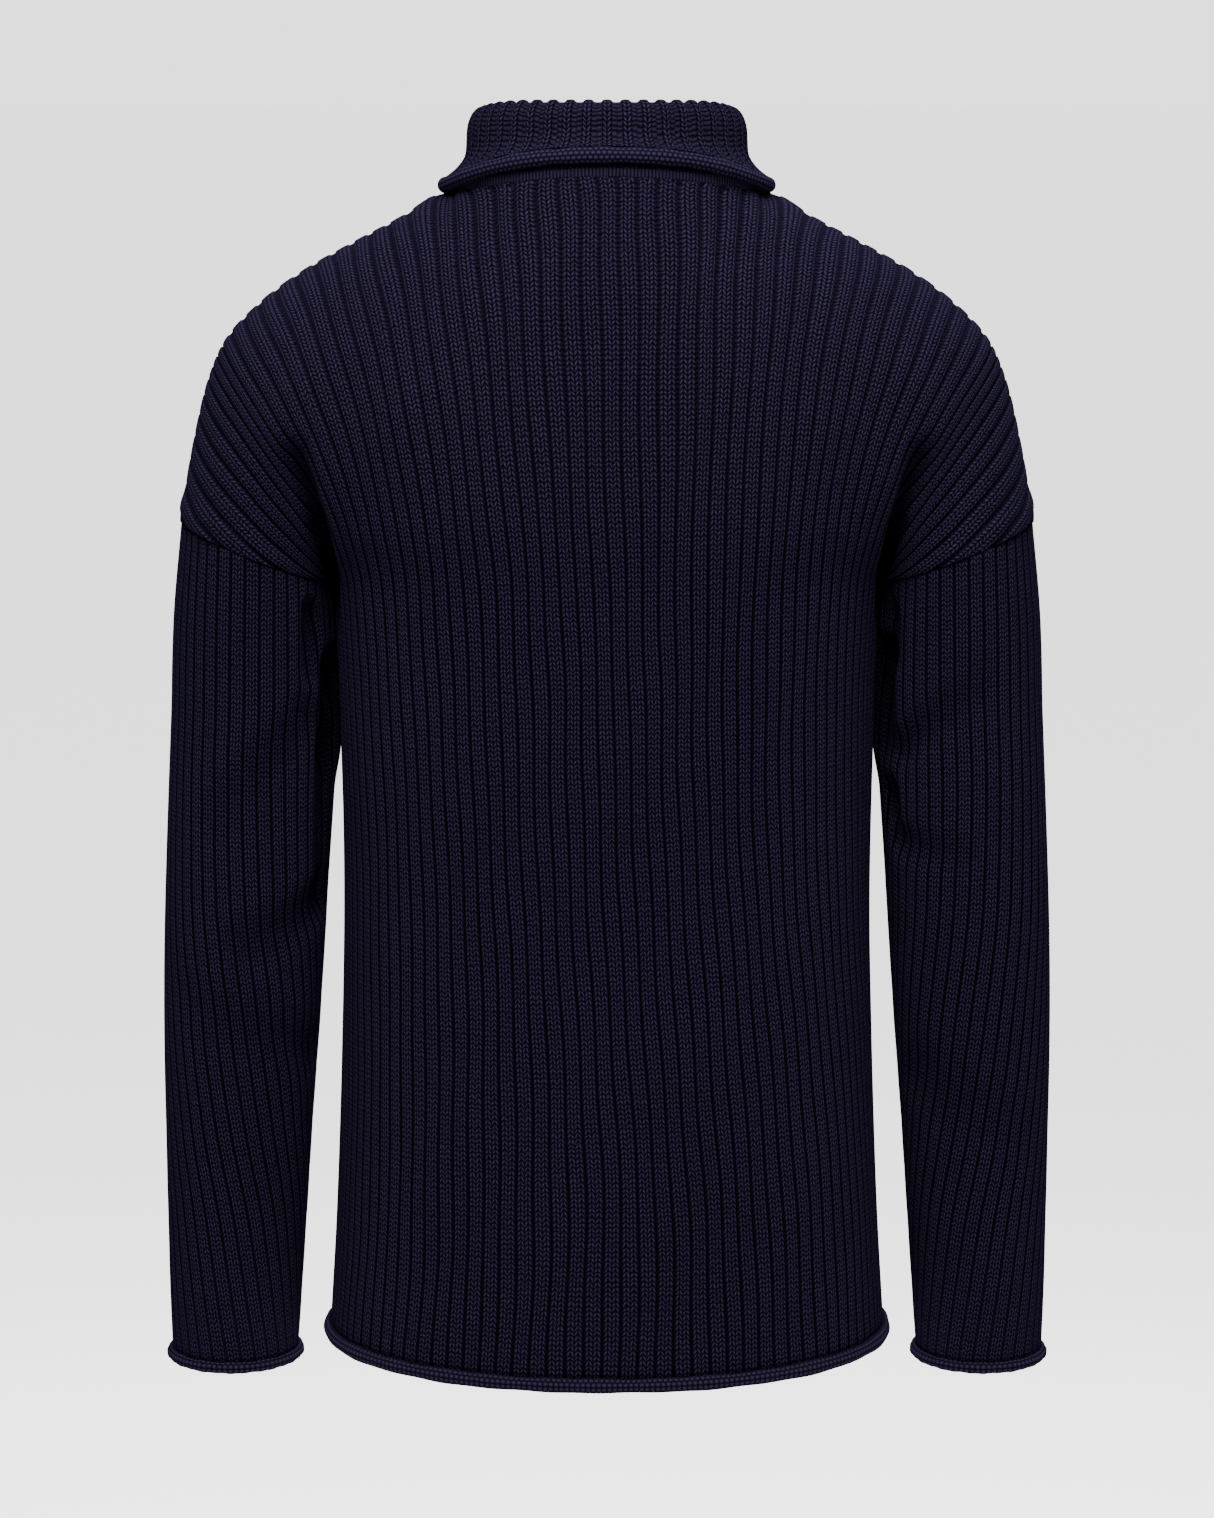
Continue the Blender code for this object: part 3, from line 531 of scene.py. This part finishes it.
def build_panel(name, facing):
    """Outside: the form less each rib's relief, plus the welt. Inside: the form less the wall."""
    levels = np.linspace(TORSO_SECTIONS[0][0], PANEL_TOP, PANEL_ROWS)
    form, outward = panel_form(levels, facing)
    most = PANEL_RIBS + ARMHOLE_RIBS
    ribs = np.arange(-most, most + 1)[:, None] + ACROSS
    level = levels[:, None, None]
    last = side_ribs(level)
    waves = sum(np.sin(level * up + ribs * along) for up, along in WOBBLE_WAVES)
    drift = read(RIB_DRIFT, DRIFT_COLUMNS, "drift", levels)[:, None, None]
    wobble = WOBBLE_RIBS * waves + drift
    shown = np.clip(ribs + wobble * (1 - (ribs / most) ** 2), -last, last)
    place = body_places(shown, level)
    groove = read(PANEL_GROOVES, GROOVE_COLUMNS, "half_width", levels)[:, None, None]
    depth = read(PANEL_GROOVES, GROOVE_COLUMNS, "depth", levels)[:, None, None]
    sunk, hollow = rib_relief(np.broadcast_to(ACROSS, place.shape), groove, depth)
    sunk = np.where(abs(shown) < last, sunk, 0.0)
    from_edge = np.clip((PANEL_RIBS - abs(place)) / WELT_RIBS, 0, 1)
    welt = WELT_RISE * np.sin(math.pi * from_edge) * (level > UNDERARM)
    welt = welt * (1 + WELT_UNEVEN * np.sin(WELT_WAVES * level + np.sign(place)))
    outer = on_grid(form, place) - (sunk - welt)[..., None] * on_grid(outward, place)
    between = np.clip(np.arange(-most, most + 2) - 0.5, -last[..., 0], last[..., 0])
    between = body_places(between, levels[:, None])
    inner = (on_grid(form, between) - WALL * on_grid(outward, between))[::INSIDE_EVERY]
    outer[0, ..., 2] -= EDGE_TUCK
    inner[0, :, 2] -= EDGE_TUCK
    shade = read(PANEL_GROOVES, GROOVE_COLUMNS, "shade", levels)[:, None, None]
    # Painted shade: the colour is painted darker in the folds' troughs and at the bottoms of
    # grooves.
    painted_shade = trough(place, level, PANEL_FOLDS, True) / FULL_SHADE_DEPTH + hollow * shade
    made = ribbed_shell(name, outer, ribs, hollow, painted_shade, inner, INSIDE_EVERY, closed=False)
    return made, form


back, back_form = build_panel("knit_back", 1)
front, front_form = build_panel("knit_front", -1)

# %% [markdown]
# ## The sleeves
# A sleeve is a tube that narrows to the wrist. Its ribs are knitted straight, so as it narrows
# the outer ones end one after another at the underarm seam. They lie flatter near the cuff,
# where the rib gives way to the rolled edge.

# %% Sleeves
SLEEVE_ROWS = 129
SLEEVE_GROOVES = (
    (-0.7090, 0.045, 0.0005, 0.1),
    (-0.6600, 0.045, 0.0011, 0.4),
    (-0.6000, 0.050, 0.0023, 0.8),
    (-0.3000, 0.050, 0.0024, 0.8),
    (-0.2450, 0.060, 0.0021, 0.8),
    (-0.2176, 0.060, 0.0015, 0.8),
)


def sleeve_course(level, ribs, inset):
    """An ellipse; a rib's share of the way round, plus the twist, gives its running length."""
    names = SLEEVE_COLUMNS[1:]
    row = {name: read(SLEEVE_SECTIONS, SLEEVE_COLUMNS, name, level)[0] for name in names}
    angle = np.linspace(0, 2 * math.pi, LOOP_STEPS + 1)
    x, y = row["half_width"] * np.cos(angle), row["half_depth"] * np.sin(angle)
    run = running_length(np.column_stack([x, y]))
    across = unit(np.column_stack([x / row["half_width"] ** 2, y / row["half_depth"] ** 2]))
    at = (ribs + row["twist"]) / row["ribs"] * run[-1] / 2
    circle, outward = np.column_stack([x, y, 0 * x]), np.column_stack([across, 0 * x])
    place = along_loop(circle, run, at) - np.reshape(inset, (-1, 1)) * along_loop(outward, run, at)
    place[:, 2] = row["slope"] * place[:, 0]
    return place + np.array([row["centre_x"], row["centre_y"], level])


def carried_round(ribs, levels, last, folds):
    """The folds, and the same ones a turn earlier and later, so that they cross the seam."""
    return sum(trough(ribs + turn * 2 * last, levels, folds, False) for turn in (-1, 0, 1))


def sleeve_hollows(ribs, levels, last, folds):
    """The sleeve's folds, less its fullness where it leans on the body."""
    return carried_round(ribs, levels, last, folds) + trough(ribs, levels, SLEEVE_FULLNESS, True)


def build_sleeve(name, side, folds):
    """Outside: the tube less each rib's relief and the folds. Inside: a wall's thickness less."""
    levels = np.linspace(SLEEVE_SECTIONS[-1][0], SLEEVE_SECTIONS[0][0], SLEEVE_ROWS)
    last = read(SLEEVE_SECTIONS, SLEEVE_COLUMNS, "ribs", levels)
    most = math.ceil(last.max())
    ribs = np.arange(-most, most + 1)[:, None] + ACROSS
    groove = read(SLEEVE_GROOVES, GROOVE_COLUMNS, "half_width", levels)[:, None, None]
    depth = read(SLEEVE_GROOVES, GROOVE_COLUMNS, "depth", levels)[:, None, None]
    limit, level = last[:, None, None], levels[:, None, None]
    place = np.clip(ribs, -limit, limit)
    sunk, hollow = rib_relief(np.broadcast_to(ACROSS, place.shape), groove, depth)
    sunk = np.where(abs(place) < limit, sunk, 0.0) + sleeve_hollows(place, level, limit, folds)
    between = np.clip(np.arange(-most, most + 2) - 0.5, -limit[:, 0], limit[:, 0])
    deep = WALL + sleeve_hollows(between, levels[:, None], limit[:, 0], folds)
    mirror = np.array([side, 1, 1])
    rows = zip(levels, place.reshape(SLEEVE_ROWS, -1), sunk.reshape(SLEEVE_ROWS, -1))
    outer = np.reshape([sleeve_course(*row) for row in rows], (*place.shape, 3)) * mirror
    rows = list(zip(levels, between, deep))[::INSIDE_EVERY]
    inner = np.array([sleeve_course(*row) for row in rows]) * mirror
    outer[0, ..., 2] -= EDGE_TUCK
    inner[0, :, 2] -= EDGE_TUCK
    shade = read(SLEEVE_GROOVES, GROOVE_COLUMNS, "shade", levels)[:, None, None]
    # Painted shade: the colour is painted darker in the folds' troughs and at the bottoms of
    # grooves.
    painted_shade = carried_round(place, level, limit, folds) / FULL_SHADE_DEPTH + hollow * shade
    return ribbed_shell(name, outer, ribs, hollow, painted_shade, inner, INSIDE_EVERY, closed=True)


sleeve_left = build_sleeve("knit_sleeve_left", 1, LEFT_SLEEVE_FOLDS)
sleeve_right = build_sleeve("knit_sleeve_right", -1, RIGHT_SLEEVE_FOLDS)

# %% [markdown]
# ## The collar
# The collar is a ribbed tube folded outwards over its top, so the wrong side of the rib shows:
# narrow knit ridges with wide purl gaps. Its cross-section is one closed line that runs up the
# outside, over the fold, down inside the neck and back between the layers.

# %% Collar
COLLAR_RIBS = 44
COLLAR_TOP = 0.0480
COLLAR_FRONT_DIP = 0.0280
COLLAR_CORNER_DROP = 0.0045
CORNER_POWER = 4
BAND_TOP = 0.0050
COLLAR_COLUMNS = ("layer", "rise", "offset", "flare", "ribbed")
COLLAR_PROFILE = (
    ("outer", 0.00, 0.0005, 0.0040, 0),
    ("outer", 0.14, -0.0040, 0.0016, 1),
    ("outer", 0.34, -0.0072, 0.0000, 1),
    ("outer", 0.68, -0.0080, 0.0000, 1),
    ("outer", 0.90, -0.0110, 0.0000, 1),
    ("outer", 1.00, -0.0160, 0.0000, 1),
    ("inner", 0.90, -0.0215, 0.0000, 1),
    ("inner", 0.50, -0.0190, 0.0000, 1),
    ("inner", 0.00, -0.0045, 0.0000, 0),
    ("inner", 0.00, -0.0006, 0.0000, 0),
    ("inner", 0.33, -0.0118, 0.0000, 0),
    ("inner", 0.82, -0.0150, 0.0000, 0),
    ("outer", 0.78, -0.0132, 0.0000, 0),
    ("outer", 0.34, -0.0110, 0.0000, 0),
    ("outer", 0.00, -0.0040, 0.0036, 0),
)
COLLAR_ROWS = 73
OUTSIDE_ROW = 4
COLLAR_GROOVE = 0.25
COLLAR_DEPTH = 0.0014
COLLAR_ROLL_RADIUS = 0.0046
COLLAR_ROLL_MIDDLE = {"offset": 0.0012, "height": 0.0125}
COLLAR_ROLL_CORNER = {"offset": 0.0045, "height": 0.0034}


def roll_centre(angle):
    """Middle value plus (corner - middle) times |sin|^power, for the offset and the height."""
    share = abs(np.sin(angle)) ** CORNER_POWER
    return tuple(
        COLLAR_ROLL_MIDDLE[name] + (COLLAR_ROLL_CORNER[name] - COLLAR_ROLL_MIDDLE[name]) * share
        for name in ("offset", "height")
    )


def collar_rows(angle):
    """Each row of the profile, carried round the neck: foot + (top - foot) times its rise."""
    rows = []
    for values in (*COLLAR_PROFILE, COLLAR_PROFILE[0]):
        row = dict(zip(COLLAR_COLUMNS, values))
        top = COLLAR_TOP - neck_height(angle) - COLLAR_FRONT_DIP * np.minimum(np.cos(angle), 0) ** 2
        top -= COLLAR_CORNER_DROP * abs(np.sin(angle)) ** (2 * CORNER_POWER)
        low = roll_centre(angle)[1] + COLLAR_ROLL_RADIUS + SEAM_GAP
        foot = low if row["layer"] == "outer" else BAND_TOP + SEAM_GAP
        out = row["offset"] + row["flare"] * abs(np.sin(angle)) ** CORNER_POWER
        rows.append(neck_ring(angle, out, foot + (top - foot) * row["rise"]))
    return np.array(rows)


def build_collar(name):
    """The profile's rows, smoothed, less each rib's relief where the ribs show."""
    ribs = np.arange(COLLAR_RIBS)[:, None] + ACROSS
    rows = collar_rows(2 * math.pi * ribs / COLLAR_RIBS)
    stations = running_length(rows[:, 0, MIDDLE])
    at = np.linspace(0, stations[-1], COLLAR_ROWS)
    form = smooth_between(stations, rows, at)
    shows = [row[-1] for row in (*COLLAR_PROFILE, COLLAR_PROFILE[0])]
    shows = smooth_between(stations, shows, at)[:, None, None]
    flat = form.reshape(COLLAR_ROWS, -1, 3)
    outward = unit(np.cross(np.gradient(flat, axis=0), np.gradient(flat, axis=1)))
    outward = outward.reshape(form.shape)
    outward = outward * np.sign(outward[OUTSIDE_ROW, 0, MIDDLE, 1])
    sunk, hollow = rib_relief(np.broadcast_to(ACROSS, form.shape[:3]), COLLAR_GROOVE, COLLAR_DEPTH)
    outer = form - (shows * sunk)[..., None] * outward
    ids = np.arange(hollow.size).reshape(hollow.shape)
    uv = stitch_rows(outer, ribs).reshape(-1, 2)
    groove, painted_shade = (hollow * shows).ravel(), np.zeros(ids.size)
    return make_mesh(name, outer.reshape(-1, 3), [quads(ids)], uv, groove, painted_shade)


collar = build_collar("knit_collar")

# %% [markdown]
# ## Rolled edges and the neck band
# Plain knit curls towards its right side. The maker lets it roll at the hem, the cuffs and the
# collar's free edge, so each is a round, slightly uneven roll of purl bumps. The neck band is a
# narrow strip that links the collar on. All are a cross-section carried along a closed path.

# %% Rolls and band
HEM_ROLL_RADIUS = 0.0042
CUFF_ROLL_RADIUS = 0.0034
ROLL_SIDES = 20
WALE = 0.0031
ROLL_POWER = 2
ROLL_UNEVEN = 0.08
ROLL_WAVES = ((13, 0), (29, 1))
BAND_HALF = (0.0019, 0.0030)
BAND_MIDDLE = (-0.00285, 0.0025)
BAND_POWER = 4


def level_outward(path):
    """Level directions square to a closed path, away from its centre."""
    along = np.roll(path[:-1], -1, axis=0) - np.roll(path[:-1], 1, axis=0)
    outward = unit(np.column_stack([along[:, 1], -along[:, 0], 0 * along[:, 0]]))
    outward *= np.sign(((path[:-1] - path[:-1].mean(axis=0)) * outward).sum(axis=1, keepdims=True))
    return np.vstack([outward, outward[:1]])


def carried(name, path, half_sizes, power):
    """Centre + a |cos|^(2/p) outward + b |sin|^(2/p) up, at each point of the closed path."""
    run = running_length(path)
    share = run / run[-1]
    waves = sum(np.sin(share * 2 * math.pi * turns + start) for turns, start in ROLL_WAVES)
    size = 1 + ROLL_UNEVEN * waves / len(ROLL_WAVES)
    angle = np.linspace(0, 2 * math.pi, ROLL_SIDES + 1)[:, None]
    side = half_sizes[0] * np.sign(np.cos(angle)) * abs(np.cos(angle)) ** (2 / power) * size
    rise = half_sizes[1] * np.sign(np.sin(angle)) * abs(np.sin(angle)) ** (2 / power) * size
    points = path + side[..., None] * level_outward(path)
    points[..., 2] += rise
    ids = np.arange(side.size).reshape(side.shape)
    wales = round(run[-1] / WALE)
    courses = round(math.pi * sum(half_sizes) / COURSE)
    around = angle / (2 * math.pi)
    uv = np.stack(np.broadcast_arrays(share * wales, around * courses), axis=-1).reshape(-1, 2)
    smooth = np.zeros(ids.size)
    return make_mesh(name, points.reshape(-1, 3), [quads(ids)], uv, smooth, smooth)


def build_roll(name, path, radius):
    """A roll whose path is closed and whose radius is the same all round."""
    return carried(name, path, (radius, radius), ROLL_POWER)


HEM_STEPS, CUFF_STEPS, NECK_STEPS = 400, 160, 320
loop, loop_run = section_loop(TORSO_SECTIONS[0][0])
hem_path = along_loop(loop, loop_run, np.linspace(0, loop_run[-1], HEM_STEPS + 1)[:-1])
hem_path = np.vstack([hem_path, hem_path[:1]]) - np.array([0, 0, HEM_ROLL_RADIUS + SEAM_GAP])
hem_roll = build_roll("knit_hem_roll", hem_path, HEM_ROLL_RADIUS)

cuff_last = SLEEVE_SECTIONS[-1][-1]
cuff_ribs = np.linspace(-cuff_last, cuff_last, CUFF_STEPS + 1)
cuff_path = sleeve_course(SLEEVE_SECTIONS[-1][0], cuff_ribs, 0.0)
cuff_path = cuff_path - np.array([0, 0, CUFF_ROLL_RADIUS + SEAM_GAP])
cuff_left = build_roll("knit_cuff_roll_left", cuff_path, CUFF_ROLL_RADIUS)
cuff_right = build_roll("knit_cuff_roll_right", cuff_path * np.array([-1, 1, 1]), CUFF_ROLL_RADIUS)

neck_angle = np.linspace(0, 2 * math.pi, NECK_STEPS + 1)
collar_path = neck_ring(neck_angle, *roll_centre(neck_angle))
collar_roll = build_roll("knit_collar_roll", collar_path, COLLAR_ROLL_RADIUS)
band_path = neck_ring(neck_angle, *BAND_MIDDLE)
band = carried("knit_neck_band", band_path, BAND_HALF, BAND_POWER)

# %% [markdown]
# ## Shader arithmetic
# A stitch pattern is a small formula on the UV map. Wrapping a socket in a class lets such a
# formula be written as Python, and each operator adds one Math node.

# %% Sockets as numbers
class Value:
    """A number in a material that changes over the surface."""

    def __init__(self, nodes, socket):
        self.nodes, self.socket = nodes, socket

    def math(self, operation, *others):
        return self.nodes.add("ShaderNodeMath", {"operation": operation}, *(self, *others))

    def __add__(self, other):
        return self.math("ADD", other)

    def __mul__(self, other):
        return self.math("MULTIPLY", other)

    def __sub__(self, other):
        return self.math("SUBTRACT", other)

    def __rsub__(self, other):
        return self * -1 + other

    def __pow__(self, other):
        return self.math("POWER", other)

    __radd__, __rmul__ = __add__, __mul__

    def near(self, low, high):
        """0 below low, 1 above high and a smooth step between them."""
        settings = {"interpolation_type": "SMOOTHSTEP"}
        return self.nodes.add("ShaderNodeMapRange", settings, self, low, high, 0.0, 1.0)


class Nodes:
    """The nodes of one material."""

    def __init__(self, name):
        self.material = bpy.data.materials.new(name)
        self.material.use_nodes = True
        self.tree = self.material.node_tree
        self.shader = self.tree.nodes["Principled BSDF"]

    def add(self, kind, settings, *values, out=0, **named):
        """Adds a node: its settings first, then the values or links of its sockets."""
        node = self.tree.nodes.new(kind)
        for key, value in settings.items():
            setattr(node, key, value)
        for key, value in (*enumerate(values), *named.items()):
            socket = node.inputs[key if isinstance(key, int) else key.replace("_", " ")]
            if isinstance(value, Value):
                self.tree.links.new(value.socket, socket)
            else:
                socket.default_value = value
        return Value(self, node.outputs[out])

    def feed(self, name, value):
        self.tree.links.new(value.socket, self.shader.inputs[name])


# %% [markdown]
# ## Wool
# The yarn is matte, deep navy and a little fuzzy. Light catches the top of each strand and dies
# between strands, which at this scale reads more as a change of colour than of shape, so the
# same stitch height darkens the colour and feeds the bump: painted shade between strands. The
# bottoms of grooves and the troughs of folds get painted shade too. A knit stitch is a V of two
# slanting strands; a purl stitch is a low bump across the rib.

# %% Yarn finish
NAVY = (0.0077, 0.0060, 0.0138, 1.0)
# SHADE is the painted shade colour: between strands, in grooves and in folds.
SHADE = (0.0002, 0.0001, 0.0004, 1.0)
WOOL_ROUGHNESS = 0.95
FUZZ = (0.16, 0.13, 0.34, 1.0)
SHEEN = {
    "Sheen Weight": 0.02,
    "Sheen Roughness": 0.5,
    "Sheen Tint": FUZZ,
    "Specular IOR Level": 0.0,
}
# How much the painted shade in folds and grooves darkens the colour.
SHADE_STRENGTH = 0.85
STITCH_HEIGHT = 0.0009
FIBRE_NOISE = {"scale": 900.0, "detail": 3.0}
FIBRE_SHARE = 0.45
MOTTLE_NOISE = {"scale": 9.0, "detail": 2.0}
MOTTLE_SHARE = 0.16
UNEVEN_NOISE = {"scale": 260.0, "detail": 1.0}
UNEVEN_COURSES = 0.9
CHEVRON = 0.8
PURL_WALES = 4
PURL_LOW = 0.6
LEG_POWER = 1.2
STRAND_POWER = 1.5
GROOVE_SHADING = (0.35, 0.95)
CURL_STAGGER = 0.5
LOWEST = 0.05
BAND_STRANDS = 1.5
BAND_RELIEF = 0.9
BAND_DARKNESS = 0.15
OBJECT_COORDINATES = 3
FACTOR = 2
MIXED_COLOUR = 2
MIX_ENDS = (6, 7)


def cloth_noise(nodes, scale, detail):
    """Noise from 0 to 1 over the object's own coordinates."""
    place = nodes.add("ShaderNodeTexCoord", {}, out=OBJECT_COORDINATES)
    return nodes.add("ShaderNodeTexNoise", {}, Vector=place, Scale=scale, Detail=detail)


def yarn(nodes, height, dark):
    """Finishes a material from a stitch height and a darkness, both from 0 to 1."""
    fibre = cloth_noise(nodes, **FIBRE_NOISE)
    mottle = cloth_noise(nodes, **MOTTLE_NOISE)
    # Painted shade: the colour is painted darker where the stitch is low, by the darkness, and in
    # folds.
    lit = height * (1 - dark) * (1 - MOTTLE_SHARE + mottle * (2 * MOTTLE_SHARE))
    lit = lit * (1 - FIBRE_SHARE + fibre * (2 * FIBRE_SHARE))
    # Painted shade in folds and grooves, carried by a point attribute of the mesh.
    painted_shade = nodes.add("ShaderNodeAttribute", {"attribute_name": "painted_shade"}, out=FACTOR)
    lit = lit * (1 - painted_shade * SHADE_STRENGTH)
    colour = nodes.add("ShaderNodeMix", {"data_type": "RGBA"}, lit, out=MIXED_COLOUR)
    for end, tint in zip(MIX_ENDS, (SHADE, NAVY)):
        colour.socket.node.inputs[end].default_value = tint
    nodes.feed("Base Color", colour)
    nodes.shader.inputs["Roughness"].default_value = WOOL_ROUGHNESS
    for name, value in SHEEN.items():
        nodes.shader.inputs[name].default_value = value
    bumpy = height + fibre * FIBRE_SHARE
    bump = nodes.add("ShaderNodeBump", {}, Strength=1.0, Distance=STITCH_HEIGHT, Height=bumpy)
    nodes.feed("Normal", bump)
    return nodes.material


def knit_uv(nodes):
    """U and V of the knit map."""
    both = nodes.add("ShaderNodeUVMap", {"uv_map": "knit"})
    parts = nodes.add("ShaderNodeSeparateXYZ", {}, both)
    return parts, Value(nodes, parts.socket.node.outputs[1])


def wave(value):
    """|sin(pi value)|: one smooth hump for each unit."""
    return (value * math.pi).math("SINE").math("ABSOLUTE")


def rib_wool(name, crown_half, wales, gap_shade):
    """Crown: V strands, phase = courses - chevron |x|. Groove: purl bumps in each course."""
    nodes = Nodes(name)
    ribs, courses = knit_uv(nodes)
    courses = courses + cloth_noise(nodes, **UNEVEN_NOISE) * UNEVEN_COURSES
    across = ((ribs + 0.5).math("FRACT") - 0.5).math("ABSOLUTE") * (1 / crown_half)
    wale = (across * wales).math("PINGPONG", 1.0)
    leg = wave(wale) ** LEG_POWER
    strand = wave(courses - wale * CHEVRON) ** STRAND_POWER
    knit = leg * strand
    bumps = wave(ribs * PURL_WALES) * (1 - PURL_LOW) + PURL_LOW
    purl = wave(courses + 0.5) * bumps
    hollow = nodes.add("ShaderNodeAttribute", {"attribute_name": "groove"}, out=FACTOR)
    # Painted shade: the colour at the bottom of each groove is darkened by the gap's share.
    deep = hollow.near(*GROOVE_SHADING)
    height = knit * (1 - deep) + purl * deep
    return yarn(nodes, height, deep * gap_shade)


def curled_wool(name):
    """Purl bumps in staggered rows: courses are shifted by half a wale, row by row."""
    nodes = Nodes(name)
    wales, courses = knit_uv(nodes)
    row = courses.math("FLOOR")
    bumps = wave(wales + row * CURL_STAGGER) * wave(courses)
    return yarn(nodes, bumps * (1 - LOWEST) + LOWEST, 0.0)


def band_wool(name):
    """Fine upright strands, three for every two wales."""
    nodes = Nodes(name)
    strands = wave(knit_uv(nodes)[0] * BAND_STRANDS)
    return yarn(nodes, strands * BAND_RELIEF + LOWEST, BAND_DARKNESS)


# The gap's share is painted shade at the bottom of the grooves, as a share of the colour.
BODY_RIB = {"crown_half": 0.42, "wales": 2, "gap_shade": 0.6}
COLLAR_RIB = {"crown_half": 0.22, "wales": 1, "gap_shade": 0.45}
rib_finish = rib_wool("navy_wool_rib", **BODY_RIB)
collar_finish = rib_wool("navy_wool_reversed_rib", **COLLAR_RIB)
curled_finish = curled_wool("navy_wool_curled_edge")
band_finish = band_wool("navy_wool_band")

# %% [markdown]
# ## What each piece is
# Each piece rides on the one body and stands for its plain solid, which is hidden. The cut is
# what shows of it laid flat: for a panel the widest course, the length of the middle rib and the
# area of the plain surface under the ribs.

# %% Finishes, cut sizes and links to the imported model
def form_size(form):
    """Widest course, length of the middle column and area of a grid of points."""
    rows = np.linalg.norm(np.diff(form, axis=1), axis=-1).sum(axis=1)
    middle = form[:, form.shape[1] // 2]
    length = np.linalg.norm(np.diff(middle, axis=0), axis=-1).sum()
    a, b = form[1:, :-1] - form[:-1, :-1], form[:-1, 1:] - form[:-1, :-1]
    return rows.max(), length, np.linalg.norm(np.cross(a, b), axis=-1).sum()


def finish_piece(piece, node, material, flat, area=None):
    piece.data.materials.append(material)
    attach(piece, "root")
    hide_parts(node)
    print(piece.name, "cut", [round(size, 3) for size in flat], "area", area and round(area, 4))


GIRTH_POINTS = 80
COLLAR_CUT = (0.50, 0.080)
BAND_CUT_WIDTH = 0.010
ROLL_SHOWS = 0.6

for piece, node, form in ((back, "back_panel", back_form), (front, "front_panel", front_form)):
    wide, long, area = form_size(form)
    finish_piece(piece, node, rib_finish, (wide, long), area)
sleeve_form = [
    sleeve_course(row[0], np.linspace(-row[-1], row[-1], GIRTH_POINTS), 0.0)
    for row in reversed(SLEEVE_SECTIONS)
]
wide, long, area = form_size(np.array(sleeve_form))
finish_piece(sleeve_left, "sleeve_left", rib_finish, (wide, long), area)
finish_piece(sleeve_right, "sleeve_right", rib_finish, (wide, long), area)
finish_piece(collar, "collar", collar_finish, COLLAR_CUT)
for piece, node, path, radius in (
    (hem_roll, "hem_roll", hem_path, HEM_ROLL_RADIUS),
    (cuff_left, "cuff_roll_left", cuff_path, CUFF_ROLL_RADIUS),
    (cuff_right, "cuff_roll_right", cuff_path, CUFF_ROLL_RADIUS),
    (collar_roll, "collar_roll", collar_path, COLLAR_ROLL_RADIUS),
):
    roll_cut = (running_length(path)[-1], ROLL_SHOWS * 2 * math.pi * radius)
    finish_piece(piece, node, curled_finish, roll_cut)
band_cut = (running_length(band_path)[-1], BAND_CUT_WIDTH)
finish_piece(band, "neck_band", band_finish, band_cut)

# %% [markdown]
# ## Camera, light and floor
# The picture is taken from behind, from a little above the middle of the garment and from far
# enough for a long lens. The light is plain and soft, and the floor is pale and far below,
# because the garment hangs at a wearer's height.

# %% Camera
SIGHT = Vector((0.0, 0.0, -0.344))
DISTANCE = 2.78
ELEVATION = math.radians(8.2)
SENSOR = 36.0
IMAGE_HEIGHT = 1518
METRES_A_PIXEL = 0.0006
camera_data = bpy.data.cameras.new("camera")
camera_data.sensor_width = SENSOR
camera_data.lens = SENSOR * DISTANCE / (METRES_A_PIXEL * IMAGE_HEIGHT)
camera = bpy.data.objects.new("camera", camera_data)
camera.location = SIGHT + DISTANCE * Vector((0.0, math.cos(ELEVATION), math.sin(ELEVATION)))
camera.rotation_euler = (SIGHT - camera.location).to_track_quat("-Z", "Y").to_euler()
bpy.context.scene.collection.objects.link(camera)
bpy.context.scene.camera = camera
print("lens", round(camera_data.lens, 1), "mm")

# %% Light and floor
FLOOR_LEVEL = -1.45
FLOOR_HALF = 400.0
FLOOR_CORNERS = ((-1, -1), (1, -1), (1, 1), (-1, 1))
FLOOR_ROUGHNESS = 1.0
FLOOR_COLOUR = (0.97, 0.97, 0.97, 1.0)
WORLD_STRENGTH = 2.2
LAMPS = (
    ("key", (0.05, 1.15, 1.2), 1.0, 220.0),
    ("fill", (-1.6, 2.6, 0.4), 2.0, 20.0),
    ("front_key", (-0.35, -1.25, 1.15), 1.2, 150.0),
)
world = bpy.data.worlds.new("studio")
world.use_nodes = True
world.node_tree.nodes["Background"].inputs["Color"].default_value = (1, 1, 1, 1)
world.node_tree.nodes["Background"].inputs["Strength"].default_value = WORLD_STRENGTH
bpy.context.scene.world = world
for name, place, size, power in LAMPS:
    lamp_data = bpy.data.lights.new(name, "AREA")
    lamp_data.size, lamp_data.energy = size, power
    lamp = bpy.data.objects.new(name, lamp_data)
    lamp.location = place
    lamp.rotation_euler = (SIGHT - lamp.location).to_track_quat("-Z", "Y").to_euler()
    bpy.context.scene.collection.objects.link(lamp)
floor_mesh = bpy.data.meshes.new("floor")
corners = [(x * FLOOR_HALF, y * FLOOR_HALF, FLOOR_LEVEL) for x, y in FLOOR_CORNERS]
floor_mesh.from_pydata(corners, [], [(0, 1, 2, 3)])
floor = bpy.data.objects.new("floor", floor_mesh)
bpy.context.scene.collection.objects.link(floor)
floor_nodes = Nodes("pale_floor")
floor_nodes.shader.inputs["Base Color"].default_value = FLOOR_COLOUR
floor_nodes.shader.inputs["Roughness"].default_value = FLOOR_ROUGHNESS
floor_mesh.materials.append(floor_nodes.material)
